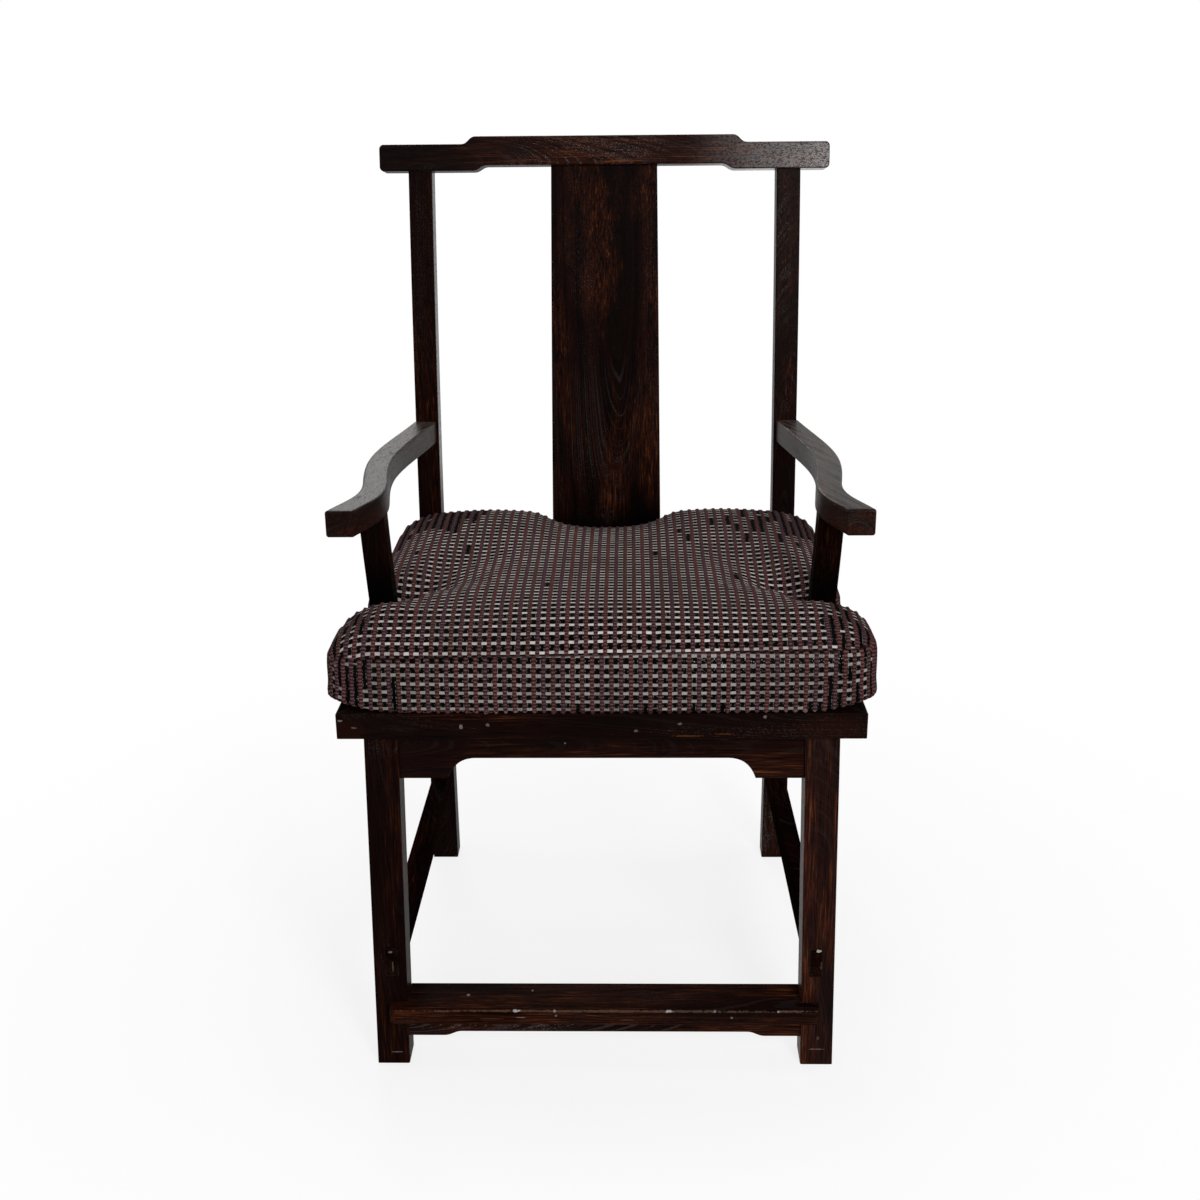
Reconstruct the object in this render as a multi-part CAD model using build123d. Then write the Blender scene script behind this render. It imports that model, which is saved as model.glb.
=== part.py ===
from build123d import *
import os

# Official's hat armchair in dark lacquered elm, with a loose fabric seat cushion.
#
# The chair is a set of separate joiner's pieces held by mortises and tenons: a crest rail on two
# curved rear posts, a splat, arms on arm posts, a mitred seat frame with floating boards, legs,
# aprons, stretchers and a footrest. X runs to the sitter's left, the front faces -Y, Z is up.
# While modelling, Y is measured back from the front face of the front legs; at the end the whole
# chair is moved so that its bounding box is centred over the origin.

# ---------------------------------------------------------------- driving dimensions (mm)
# heights above the floor
overall_height = 1087.0  # top of the crest rail's raised middle
seat_height = 486.0  # top of the seat frame
footrest_height = 91.0  # top of the footrest board
side_stretcher_height = 168.0  # top of the side stretchers
rear_stretcher_height = 216.0  # top of the rear stretcher

# seat frame
seat_width = 610.0  # across the front edge
seat_taper = 9.0  # how much each side comes in from the front edge to the rear edge
seat_depth = 553.0  # front edge to rear edge
seat_overhang = 9.0  # front edge ahead of the front legs
frame_thickness = 33.0
front_rail_width = 62.0
side_rail_width = 64.0
rear_rail_width = 70.0
frame_tenon_thickness = 11.0
frame_tenon_level = 19.0  # middle of the tenon above the frame's underside
front_tenon_width = 24.0
front_tenon_inset = 30.0  # from the frame's front edge to the tenon
rear_tenon_width = 15.0
rear_tenon_inset = 50.0  # from the frame's rear edge to the tenon, ahead of the posts

# seat boards, floating in the frame's groove
board_count = 3
board_thickness = 12.0
board_recess = 2.0  # board face below the frame's top
tongue_thickness = 5.0
tongue_length = 7.0
board_gap = 0.8  # room for the boards to swell
board_tongue_thickness = 3.0  # between one board and the next
board_tongue_length = 4.0
batten_inset = 114.0  # from the opening's front or rear edge to a batten's middle
batten_width = 30.0
batten_height = 16.0
batten_tenon_width = 18.0
batten_tenon_height = 8.0
dovetail_depth = 3.0
dovetail_flare = 3.0

# front legs
front_leg_inset = 29.0  # from the frame's side to the leg's outer face
front_leg_splay = 9.0  # how much further out the outer face stands on the floor
front_leg_width = 40.0
front_leg_depth = 39.6
leg_tenon_size = 20.0
leg_tenon_length = 13.0

# rear posts: leg and back stile in one length of timber
rear_post_inset = 26.5  # from the frame's side to the post's outer face
rear_leg_splay = 6.5  # how much further out the outer face stands on the floor
rear_post_lean = 4.5  # how much further in the outer face stands under the crest rail
rear_leg_width = 38.0  # at the floor
rear_post_width = 32.0  # from the seat up
rear_post_depth = 35.0
rear_post_margin = 10.0  # from the post's back to the frame's rear edge
rear_leg_rake = 17.5  # how much further back the post's face stands on the floor
post_tenon_width = 16.0
post_tenon_depth = 16.0
post_tenon_length = 21.0
back_lean = 36.0  # how much further back the post's face stands at the crest
back_lead = 60.0  # rise above the seat in which the post turns away from the leg's slope

# crest rail
crest_tilt = 9.2  # degrees, the slope of the back where it meets the crest rail
crest_overhang = 38.5  # beyond the posts' outer faces
crest_depth = 38.0
crest_end_thickness = 35.0
crest_middle_thickness = 38.0
crest_top_step = 10.0  # rise of the raised middle
crest_middle_length = 346.0  # level part of the raised middle
crest_step_length = 20.0
crest_underside_middle = 316.0  # level part of the raised underside
crest_corner_radius = 6.0
crest_front_overhang = 2.0  # crest's face ahead of the posts' faces

# splat
splat_top_width = 144.0
splat_bottom_width = 156.0
splat_thickness = 13.0
splat_setback = 7.0  # splat's face behind the posts' faces
splat_tongue_thickness = 6.5
splat_tongue_length = 9.0
splat_shoulder = 9.0  # the tongue stops this far from the splat's sides

# arms, sawn to a double curve
arm_width = 31.0
arm_thickness = 31.0
arm_front_rise = 230.0  # top of the arm above the seat at its front end
arm_rear_rise = 217.0  # the same where the arm meets the rear post
arm_front_inset = 11.5  # from the frame's front corner in to the centre line
arm_waist_inset = 35.0  # the same at the waist over the arm post
arm_neck_inset = 30.0  # between the waist and the bow
arm_bow_inset = 22.0  # at the widest bow
arm_shoulder_inset = 33.0  # between the bow and the rear post
arm_front_setback = 30.0  # front end behind the legs' face
arm_waist_setback = 112.0
arm_neck_setback = 187.0
arm_bow_lead = 209.0  # widest bow ahead of the rear post
arm_shoulder_lead = 104.0
arm_run_out = 16.0  # the curve runs on this far past the sawn front end
arm_tenon_width = 13.0
arm_tenon_height = 19.0

# arm posts
arm_post_size = 30.0
arm_post_foot_inset = 43.5  # from the frame's front corner in to the post's centre line
arm_post_foot_setback = 134.0
arm_post_top_setback = 125.0
arm_post_sway = 9.0  # depth of the gentle double curve seen from the side
arm_post_tenon_size = 15.0

# aprons
apron_thickness = 16.0
apron_recess = 6.0  # apron's face behind the legs' faces
apron_height = 31.0
apron_end_height = 57.0
front_apron_end_length = 56.0
side_apron_end_length = 50.0
rear_apron_end_length = 46.0
apron_curve_length = 33.0
apron_curve_start = (-0.35, 1.0)  # direction in which the curve leaves the end's underside

# stretchers
stretcher_width = 23.0
stretcher_height = 39.0
stretcher_tenon_width = 15.0
stretcher_inset = 11.0  # from the legs' outer faces to the stretcher
tenon_reveal = 1.5  # through tenons stand this proud
rear_stretcher_tenon_height = 24.0
rear_stretcher_thickness = 34.0
rear_stretcher_setback = 7.0

# footrest
footrest_thickness = 21.0
footrest_lip = 18.0  # lip ahead of the front legs
footrest_lip_inset = 20.5  # from the legs' outer faces in to the lip's ends
footrest_corner_radius = 8.0
footrest_tenon_thickness = 10.5
footrest_tenon_width = 20.0
footrest_apron_thickness = 14.0
footrest_apron_recess = 4.0
footrest_apron_height = 25.0
footrest_apron_end_height = 31.0
footrest_apron_middle_length = 356.0
footrest_apron_step_length = 22.0

# joinery
joint_gap = 0.15  # clearance on each side of a tenon
shoulder_gap = 0.05  # between the arm's square shoulder and the post's curved face
blind_tenon = 20.0  # length of a stopped tenon
stub_tenon = 9.0  # length of an apron's tongue
apron_tongue_thickness = 6.0
tongue_margin = 6.0  # from an apron's top or bottom edge to its tongue
peg_diameter = 6.0
peg_gap = 0.05
peg_length = 24.0
frame_peg_inset = 25.0  # from the frame's side to the peg
softening = 2.0  # rounding of the frame's long edges
arm_softening = 3.0
splat_softening = 1.5

# cushion
cushion_thickness = 95.0
cushion_front_overhang = 13.0  # beyond the seat frame's front edge
cushion_side_overhang = 3.5  # front lobes beyond the frame's sides
cushion_rear_inset = 12.0  # rear corners inside the frame's rear corners
cushion_notch_depth = 67.0  # from the front lobe's side into the cushion
cushion_notch_margin = 6.0  # room before and behind the arm post
cushion_edge_radius = 26.0
cushion_corner_radius = 38.0
cushion_seat_gap = 0.3
cushion_back_gap = 2.0  # ahead of the rear posts
cover_thickness = 1.6
foam_gap = 0.3
zip_length = 300.0
zip_width = 12.0
zip_thickness = 1.2

# ---------------------------------------------------------------- places worked out from them
frame_underside = seat_height - frame_thickness
frame_front = -seat_overhang
frame_rear = frame_front + seat_depth
frame_half_front = seat_width / 2
frame_half_rear = frame_half_front - seat_taper
rear_post_setback = frame_rear - rear_post_margin - rear_post_depth  # legs' face to posts' face
rear_post_seat_half = frame_half_rear - rear_post_inset
rear_post_top_half = rear_post_seat_half - rear_post_lean
arm_front_height = seat_height + arm_front_rise
arm_rear_height = seat_height + arm_rear_rise
arm_waist_half = frame_half_front - arm_waist_inset
crest_slope = Vector(0, 1).rotate(Axis.Z, -crest_tilt)
crest_underside = overall_height - (crest_top_step + crest_end_thickness) * crest_slope.Y
crest_face = rear_post_setback + back_lean - crest_front_overhang
back_bend_height = crest_underside - back_lean * crest_slope.Y / crest_slope.X
rear_face_at_floor = rear_post_setback + rear_leg_rake
panel_top = seat_height - board_recess
panel_underside = panel_top - board_thickness
tongue_underside = panel_top - (board_thickness + tongue_thickness) / 2
far = 4 * overall_height  # longer than anything in the chair


# ---------------------------------------------------------------- small tools
def block(x_range, y_range, z_range):
    """A box between two values on each axis."""
    low = Vector(x_range[0], y_range[0], z_range[0])
    size = Vector(x_range[1], y_range[1], z_range[1]) - low
    return Pos(*low) * Box(size.X, size.Y, size.Z, align=(Align.MIN, Align.MIN, Align.MIN))


def around(middle, size):
    """The range of a given size about a middle."""
    return (middle - size / 2, middle + size / 2)


def grown(limits, gap):
    """A range made wider at both ends."""
    return (limits[0] - gap, limits[1] + gap)


def plan_prism(points, z_range):
    """A plan outline raised between two heights."""
    outline = make_face(Polyline(*points, close=True))
    return Pos(0, 0, z_range[0]) * extrude(outline, z_range[1] - z_range[0])


def front_prism(outline, y_range):
    """An X-Z outline carried back between two depths."""
    face = Plane.XZ * make_face(outline)
    return Pos(0, y_range[0], 0) * extrude(face, y_range[1] - y_range[0], dir=(0, 1, 0))


def side_prism(outline, x_range):
    """A Y-Z outline carried across between two widths."""
    face = Plane.YZ * make_face(outline)
    return Pos(x_range[0], 0, 0) * extrude(face, x_range[1] - x_range[0], dir=(1, 0, 0))


def closed(*points):
    """A straight-sided outline."""
    return Polyline(*points, close=True)


def other_side(piece):
    """The same piece for the other side of the chair."""
    return mirror(piece, about=Plane.YZ)


def softened(piece, shortest, radius=softening):
    """Round every edge of a piece that is longer than a given length."""
    return fillet(piece.edges().filter_by(lambda edge: edge.length > shortest), radius)


def share(low, high, part):
    """The value a given part of the way from low to high."""
    return low + (high - low) * part


# ---------------------------------------------------------------- lines that several pieces follow
def front_leg_outer(z):
    """Half the distance across the front legs at a height."""
    top = frame_half_front - front_leg_inset
    return share(top + front_leg_splay, top, z / frame_underside)


def rear_post_outer(z):
    """Half the distance across the rear posts at a height."""
    if z <= seat_height:
        return share(rear_post_seat_half + rear_leg_splay, rear_post_seat_half, z / seat_height)
    rise = (z - seat_height) / (crest_underside - seat_height)
    return share(rear_post_seat_half, rear_post_top_half, rise)


def rear_post_thickness(z):
    """Width of the rear post's face at a height."""
    return share(rear_leg_width, rear_post_width, min(z / seat_height, 1))


def rear_post_face(z):
    """Depth of the straight lower post's front face at a height."""
    return share(rear_face_at_floor, rear_post_setback, z / seat_height)


def back_curve(setback):
    """Side view of the back from the seat to the crest, a set distance behind the posts' faces."""
    seat_point = (rear_post_setback + setback, seat_height)
    forward = rear_leg_rake / seat_height * back_lead
    lead_point = (seat_point[0] - forward, seat_height + back_lead)
    bend_point = (seat_point[0], back_bend_height)
    reach = crest_depth + crest_end_thickness
    rise = back_lean + reach * crest_slope.X
    end_point = (rear_post_setback + rise + setback, crest_underside + reach * crest_slope.Y)
    return Bezier(seat_point, lead_point, bend_point, end_point)


def back_face(z):
    """Depth of the curved upper post's front face at a height."""
    level = Axis((0, z, 0), (1, 0, 0))
    return back_curve(0).find_intersection_points(level)[0].X


def arm_height(y):
    """Top of the arm at a depth."""
    part = (y - arm_front_setback) / (rear_post_setback - arm_front_setback)
    return share(arm_front_height, arm_rear_height, part)


def arm_line():
    """Plan curve of an arm's centre line, from behind the post's face to past the front end."""
    post_middle = rear_post_outer(arm_rear_height) - rear_post_width / 2
    rear = (post_middle, rear_post_setback + arm_width)
    bow = (frame_half_front - arm_bow_inset, rear_post_setback - arm_bow_lead)
    waist = (arm_waist_half, arm_waist_setback)
    front = (frame_half_front - arm_front_inset, arm_front_setback)
    outward = (Vector(*front) - Vector(*waist)).normalized() * arm_run_out
    past = (front[0] + outward.X, front[1] + outward.Y)
    shoulder = (frame_half_front - arm_shoulder_inset, rear_post_setback - arm_shoulder_lead)
    neck = (frame_half_front - arm_neck_inset, arm_neck_setback)
    return Spline(rear, shoulder, bow, neck, waist, front, past)


# ---------------------------------------------------------------- legs and posts
def front_leg():
    """Square leg that spreads a little sideways towards the floor."""
    section = Rectangle(front_leg_width, front_leg_depth)
    ends = []
    for z in (0, frame_underside):
        middle = front_leg_outer(z) - front_leg_width / 2
        ends.append(Pos(middle, front_leg_depth / 2, z) * section)
    return loft(ends)


def front_leg_tenon(gap=0.0):
    """Stopped tenon into the seat frame."""
    middle = front_leg_outer(frame_underside) - front_leg_width / 2
    return block(
        grown(around(middle, leg_tenon_size), gap),
        grown(around(front_leg_depth / 2, leg_tenon_size), gap),
        (frame_underside, frame_underside + leg_tenon_length + gap),
    )


def rear_post_side():
    """Side view of a rear post, carried right across the chair."""
    front = back_curve(0)
    back = back_curve(rear_post_depth)
    side = [
        Line((rear_face_at_floor, 0), front @ 0),
        front,
        Line(front @ 1, back @ 1),
        back,
        Line(back @ 0, (rear_face_at_floor + rear_post_depth, 0)),
        Line((rear_face_at_floor + rear_post_depth, 0), (rear_face_at_floor, 0)),
    ]
    return side_prism(side, (-far, far))


def rear_post():
    """Leg and back stile: straight below the seat, then curving smoothly backwards."""
    levels = (0, seat_height, overall_height)
    outer = [(rear_post_outer(z), z) for z in levels]
    inner = [(rear_post_outer(z) - rear_post_thickness(z), z) for z in reversed(levels)]
    return rear_post_side() & front_prism(closed(*outer, *inner), (0, far))


# ---------------------------------------------------------------- crest rail and splat
def on_crest():
    """Tilted frame of the crest rail: origin on its lower front edge, Z up its face."""
    return Pos(0, crest_face, crest_underside) * Rot(-crest_tilt, 0, 0)


def crest_outline():
    """Front view of the crest rail, a raised middle between two level ends."""
    end = rear_post_top_half + crest_overhang
    top_flat = crest_middle_length / 2
    top_low = top_flat + crest_step_length
    under_flat = crest_underside_middle / 2
    under_low = under_flat + crest_step_length
    middle_top = crest_end_thickness + crest_top_step
    middle_under = middle_top - crest_middle_thickness
    right = [
        Line((0, middle_top), (top_flat, middle_top)),
        Spline((top_flat, middle_top), (top_low, crest_end_thickness), tangents=((1, 0), (1, 0))),
        Line((top_low, crest_end_thickness), (end, crest_end_thickness)),
        Line((end, crest_end_thickness), (end, 0)),
        Line((end, 0), (under_low, 0)),
        Spline((under_low, 0), (under_flat, middle_under), tangents=((-1, 0), (-1, 0))),
        Line((under_flat, middle_under), (0, middle_under)),
    ]
    return right + [mirror(edge, about=Plane.YZ) for edge in right]


def crest_rail():
    """Crest rail with rounded corners and softened front and back rims."""
    rail = front_prism(crest_outline(), (0, crest_depth))
    upright = rail.edges().filter_by(Axis.Y).group_by(Axis.X)
    rail = fillet(upright[0] + upright[-1], crest_corner_radius)
    faces = rail.faces().sort_by(Axis.Y)
    rims = faces[0].edges() + faces[-1].edges()
    return on_crest() * fillet(rims, softening)


def above_crest_underside(raise_by):
    """Everything above the crest rail's underside, used to trim what meets it."""
    space = block((-far, far), (-far, far), (raise_by, far))
    return on_crest() * space


def post_tenon(gap=0.0):
    """Tenon on the head of a rear post, square to the crest rail."""
    middle = rear_post_outer(crest_underside) - rear_post_width / 2
    tenon = block(
        grown(around(middle, post_tenon_width), gap),
        grown(around(crest_front_overhang + rear_post_depth / 2, post_tenon_depth), gap),
        (-gap, post_tenon_length + gap),
    )
    return on_crest() * tenon


def splat_body():
    """Splat board following the back's curve, wider at the foot."""
    front = back_curve(splat_setback)
    back = back_curve(splat_setback + splat_thickness)
    side = [front, Line(front @ 1, back @ 1), back, Line(back @ 0, front @ 0)]
    top = crest_underside
    outline = closed(
        (-splat_bottom_width / 2, seat_height),
        (splat_bottom_width / 2, seat_height),
        (splat_top_width / 2, top),
        (splat_top_width / 2, far),
        (-splat_top_width / 2, far),
        (-splat_top_width / 2, top),
    )
    board = side_prism(side, (-far, far)) & front_prism(outline, (0, far))
    return softened(board, splat_bottom_width * 1.5, splat_softening)


def splat_head(gap=0.0):
    """Tongue of the splat in the crest rail's groove."""
    raised = crest_end_thickness + crest_top_step - crest_middle_thickness
    width = splat_top_width - 2 * splat_shoulder
    middle = crest_front_overhang + splat_setback + splat_thickness / 2
    tongue = block(
        grown(around(0, width), gap),
        grown(around(middle, splat_tongue_thickness), gap),
        (raised - gap, raised + splat_tongue_length + gap),
    )
    return on_crest() * tongue


def splat_foot(gap=0.0):
    """Tongue of the splat in the rear seat rail."""
    width = splat_bottom_width - 2 * splat_shoulder
    middle = rear_post_setback + splat_setback + splat_thickness / 2
    return block(
        grown(around(0, width), gap),
        grown(around(middle, splat_tongue_thickness), gap),
        (seat_height - splat_tongue_length - gap, seat_height),
    )


def back_splat():
    """Splat with its two tongues."""
    raised = crest_end_thickness + crest_top_step - crest_middle_thickness
    body = splat_body() - above_crest_underside(raised)
    return body + splat_head() + splat_foot()


# ---------------------------------------------------------------- arms and arm posts
def arm_plan(width):
    """Plan outline of an arm, the centre line swelled to a width."""
    line = arm_line()
    steps = 12
    outer = []
    inner = []
    for step in range(steps + 1):
        part = step / steps
        along = line % part
        across = Vector(along.Y, -along.X) * (width / 2)
        outer.append((line @ part) + across)
        inner.append((line @ part) - across)
    first = Spline(*outer)
    second = Spline(*inner)
    return [first, Line(first @ 1, second @ 1), second, Line(second @ 0, first @ 0)]


def arm():
    """Arm sawn from a plank: plan curve, level faces, front end cut square, shoulder on the post."""
    plank = extrude(make_face(arm_plan(arm_width)), overall_height)
    under = arm_height(arm_front_setback) - arm_thickness
    rear_under = arm_rear_height - arm_thickness
    side = closed(
        (arm_front_setback, under + arm_thickness),
        (back_face(arm_rear_height) - shoulder_gap, arm_rear_height),
        (back_face(rear_under) - shoulder_gap, rear_under),
        (arm_front_setback, under),
    )
    blank = plank & side_prism(side, (0, far))
    clear_of_post = rear_post_setback - arm_width / 2
    free = blank.edges().filter_by(lambda edge: edge.center().Y < clear_of_post)
    return fillet(free.filter_by(lambda edge: edge.length > arm_width / 2), arm_softening)


def arm_above():
    """Space above the arm's underside, used to trim the arm post's head."""
    under = [(y, arm_height(y) - arm_thickness) for y in (0, rear_post_setback)]
    return side_prism(closed(*under, (rear_post_setback, far), (0, far)), (-far, far))


def arm_tenon(gap=0.0):
    """Tenon of the arm in the rear post."""
    middle = rear_post_outer(arm_rear_height) - rear_post_width / 2
    level = arm_rear_height - arm_thickness / 2
    return block(
        grown(around(middle, arm_tenon_width), gap),
        (rear_post_setback - arm_width / 2, rear_post_setback + blind_tenon + gap),
        grown(around(level, arm_tenon_height), gap),
    )


def arm_post_middle(z):
    """Half the distance between the arm posts' centre lines at a height."""
    top = arm_height(arm_post_top_setback) - arm_thickness
    part = (z - seat_height) / (top - seat_height)
    return share(frame_half_front - arm_post_foot_inset, arm_waist_half, part)


def arm_post():
    """Goose-neck post: leans outward, with a gentle double curve seen from the side."""
    top = arm_height(arm_post_top_setback)
    half = arm_post_size / 2
    third = (top - seat_height) / 3
    foot = arm_post_foot_setback
    head = arm_post_top_setback
    faces = []
    for offset in (-half, half):
        faces.append(
            Bezier(
                (foot + offset, seat_height),
                (foot + offset + arm_post_sway, seat_height + third),
                (head + offset - arm_post_sway, seat_height + 2 * third),
                (head + offset, top),
            )
        )
    front, back = faces
    side = [front, Line(front @ 1, back @ 1), back, Line(back @ 0, front @ 0)]
    outer = [(arm_post_middle(z) + half, z) for z in (seat_height, top)]
    inner = [(arm_post_middle(z) - half, z) for z in (top, seat_height)]
    post = side_prism(side, (0, far)) & front_prism(closed(*outer, *inner), (0, far))
    return softened(post, arm_post_size * 2)


def arm_post_foot(gap=0.0):
    """Tenon of the arm post in the side seat rail."""
    return block(
        grown(around(arm_post_middle(seat_height), arm_post_tenon_size), gap),
        grown(around(arm_post_foot_setback, arm_post_tenon_size), gap),
        (seat_height - blind_tenon - gap, seat_height),
    )


def arm_post_head(gap=0.0):
    """Tenon of the arm post in the arm's underside."""
    under = arm_height(arm_post_top_setback) - arm_thickness
    return block(
        grown(around(arm_post_middle(under), arm_post_tenon_size), gap),
        grown(around(arm_post_top_setback, arm_post_tenon_size), gap),
        (under - arm_softening, under + blind_tenon + gap),
    )


# ---------------------------------------------------------------- seat frame and boards
def frame_corners(inset_front, inset_side, inset_rear):
    """Plan corners of the seat frame moved inward: front right, rear right, rear left, front left."""
    front = frame_front + inset_front
    rear = frame_rear - inset_rear
    half_front = frame_half_front - inset_side
    half_rear = frame_half_rear - inset_side
    return [(half_front, front), (half_rear, rear), (-half_rear, rear), (-half_front, front)]


def frame_rail(first, second):
    """One mitred rail between two corners of the frame."""
    outer = frame_corners(0, 0, 0)
    inner = frame_corners(front_rail_width, side_rail_width, rear_rail_width)
    points = [outer[first], outer[second], inner[second], inner[first]]
    rail = plan_prism(points, (frame_underside, seat_height))
    return fillet(rail.edges().sort_by(SortBy.LENGTH)[-2:], softening)


def front_tenon_depth():
    """Where the front rail's tenon lies, front to back."""
    start = frame_front + front_tenon_inset
    return (start, start + front_tenon_width)


def rear_tenon_depth():
    """Where the rear rail's tenon lies, front to back."""
    end = frame_rear - rear_tenon_inset
    return (end - rear_tenon_width, end)


def frame_tenon(depth, gap=0.0):
    """Through tenon of the front or rear rail in the right-hand side rail."""
    inner = frame_half_rear - side_rail_width
    level = around(frame_underside + frame_tenon_level, frame_tenon_thickness)
    return block((inner, seat_width), grown(depth, gap), grown(level, gap))


def frame_edge_space():
    """Everything outside the seat frame's sides, used to trim the through tenons."""
    whole = plan_prism(frame_corners(0, 0, 0), (0, far))
    return block((-far, far), (-far, far), (0, far)) - whole


def panel_slab(reach, z_range):
    """Board outline that reaches a distance past the frame's opening."""
    corners = frame_corners(front_rail_width - reach, side_rail_width - reach, rear_rail_width - reach)
    return plan_prism(corners, z_range)


def frame_groove():
    """Groove round the frame's opening that holds the boards' edges."""
    level = (tongue_underside, tongue_underside + tongue_thickness)
    return panel_slab(tongue_length + board_gap, grown(level, joint_gap))


def batten_places():
    """Depths of the two battens under the boards."""
    opening_front = frame_front + front_rail_width
    opening_rear = frame_rear - rear_rail_width
    return [opening_front + batten_inset, opening_rear - batten_inset]


def batten_outline(middle, gap):
    """Side view of a batten: a flat bar with a dovetail on top."""
    half = batten_width / 2
    flare = half - dovetail_flare
    neck = flare - dovetail_flare
    base = panel_underside - batten_height
    return closed(
        (middle - half, base),
        (middle + half, base),
        (middle + half, panel_underside),
        (middle + neck + gap, panel_underside),
        (middle + flare + gap, panel_underside + dovetail_depth + gap),
        (middle - flare - gap, panel_underside + dovetail_depth + gap),
        (middle - neck - gap, panel_underside),
        (middle - half, panel_underside),
    )


def opening_half(y):
    """Half the width of the frame's opening at a depth."""
    part = (y - frame_front) / seat_depth
    return share(frame_half_front, frame_half_rear, part) - side_rail_width


def batten_tenon(middle, gap=0.0):
    """Stub tenons at both ends of a batten, as one bar across the seat."""
    half = opening_half(middle) + stub_tenon + gap
    level = around(panel_underside - batten_height / 2, batten_tenon_height)
    return block((-half, half), grown(around(middle, batten_tenon_width), gap), grown(level, gap))


def batten(middle):
    """Batten whose dovetail slides across the boards and whose ends enter the side rails."""
    bar = side_prism(batten_outline(middle, 0), (-far, far))
    inside = panel_slab(0, (0, far))
    return (bar & inside) + batten_tenon(middle)


def board_tongue(edge, gap):
    """Tongue along a board's edge, or the groove for it."""
    level = around((panel_underside + dovetail_depth + panel_top) / 2, board_tongue_thickness)
    front = frame_front + front_rail_width + tongue_length
    rear = frame_rear - rear_rail_width - tongue_length
    return block((edge, edge + board_tongue_length + gap), (front, rear), grown(level, gap))


def seat_boards():
    """Boards side by side, joined by tongues and grooves, with grooves for the battens."""
    panel = panel_slab(-board_gap, (panel_underside, panel_top))
    panel += panel_slab(tongue_length, (tongue_underside, tongue_underside + tongue_thickness))
    for middle in batten_places():
        panel -= side_prism(batten_outline(middle, joint_gap), (-far, far))
    reach = frame_half_front - side_rail_width + tongue_length
    width = 2 * reach / board_count
    boards = []
    for index in range(board_count):
        left = -reach + index * width
        strip = block((left, left + width), (-far, far), (0, far))
        if index > 0:
            strip -= board_tongue(left, joint_gap)
        if index < board_count - 1:
            strip += board_tongue(left + width, 0)
        boards.append(panel & strip)
    return boards


def seat_frame(post_blanks):
    """Four mitred rails with through tenons, a groove for the boards and holes for the posts."""
    outside = frame_edge_space()
    rails = {
        "right": frame_rail(0, 1),
        "rear": frame_rail(1, 2),
        "left": frame_rail(2, 3),
        "front": frame_rail(3, 0),
    }
    for name, depth in (("front", front_tenon_depth()), ("rear", rear_tenon_depth())):
        tenon = frame_tenon(depth) - outside
        hole = frame_tenon(depth, joint_gap)
        rails[name] += tenon + other_side(tenon)
        rails["right"] -= hole
        rails["left"] -= other_side(hole)
    groove = frame_groove()
    cuts = [post_blanks, groove, splat_foot(joint_gap)]
    cuts += [batten_tenon(middle, joint_gap) for middle in batten_places()]
    for tenon in (front_leg_tenon(joint_gap), arm_post_foot(joint_gap)):
        cuts += [tenon, other_side(tenon)]
    cuts += frame_pegs(peg_gap)
    for name in rails:
        for cut in cuts:
            rails[name] -= cut
    return {f"seat_{name}_rail": rail for name, rail in rails.items()}


# ---------------------------------------------------------------- aprons
def apron_outline(half_length, end_length, reach):
    """Front view of an apron: level underside between two deeper ends, with quarter curves."""
    top = frame_underside
    level = top - apron_height
    foot = top - apron_end_height
    inner = half_length - end_length
    flat = inner - apron_curve_length
    right = [
        Line((0, top), (half_length + reach, top)),
        Line((half_length + reach, top), (half_length + reach, foot)),
        Line((half_length + reach, foot), (inner, foot)),
        Spline((inner, foot), (flat, level), tangents=(apron_curve_start, (-1, 0))),
        Line((flat, level), (0, level)),
    ]
    return right + [mirror(edge, about=Plane.YZ) for edge in right]


def tongue_range():
    """Heights of an apron's end tongue."""
    return grown((frame_underside - apron_end_height, frame_underside), -tongue_margin)


def front_apron_tongue(gap=0.0):
    """Tongues at both ends of the front apron, as one bar."""
    inner = front_leg_outer(frame_underside) - front_leg_width + stub_tenon + gap
    middle = apron_recess + apron_thickness / 2
    depth = grown(around(middle, apron_tongue_thickness), gap)
    return block((-inner, inner), depth, grown(tongue_range(), gap))


def front_apron(leg_blanks):
    """Apron under the front rail, let into the front legs."""
    half = front_leg_outer(frame_underside) - front_leg_width
    outline = apron_outline(half, front_apron_end_length, front_leg_width / 2)
    board = front_prism(outline, (apron_recess, apron_recess + apron_thickness))
    board = board - leg_blanks
    ends = front_apron_tongue() & leg_blanks
    return board + ends


def rear_apron_tongue(gap=0.0):
    """Tongues at both ends of the rear apron, as one bar."""
    inner = rear_post_outer(frame_underside) - rear_post_thickness(frame_underside) + stub_tenon + gap
    middle = rear_post_face(frame_underside) + apron_recess + apron_thickness / 2
    depth = grown(around(middle, apron_tongue_thickness), gap)
    return block((-inner, inner), depth, grown(tongue_range(), gap))


def rear_apron(post_blanks):
    """Apron under the rear rail, let into the rear posts."""
    half = rear_post_outer(frame_underside) - rear_post_thickness(frame_underside)
    outline = apron_outline(half, rear_apron_end_length, rear_leg_width / 2)
    face = rear_post_face(frame_underside) + apron_recess
    board = front_prism(outline, (face, face + apron_thickness))
    board = board - post_blanks
    ends = rear_apron_tongue() & post_blanks
    return board + ends


def side_line(inset, front_y, rear_y):
    """Two plan points a set distance inside the legs' outer faces under the seat."""
    front_x = front_leg_outer(frame_underside) - inset
    rear_x = rear_post_outer(frame_underside) - inset
    return [(front_x, front_y), (rear_x, rear_y)]


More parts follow.
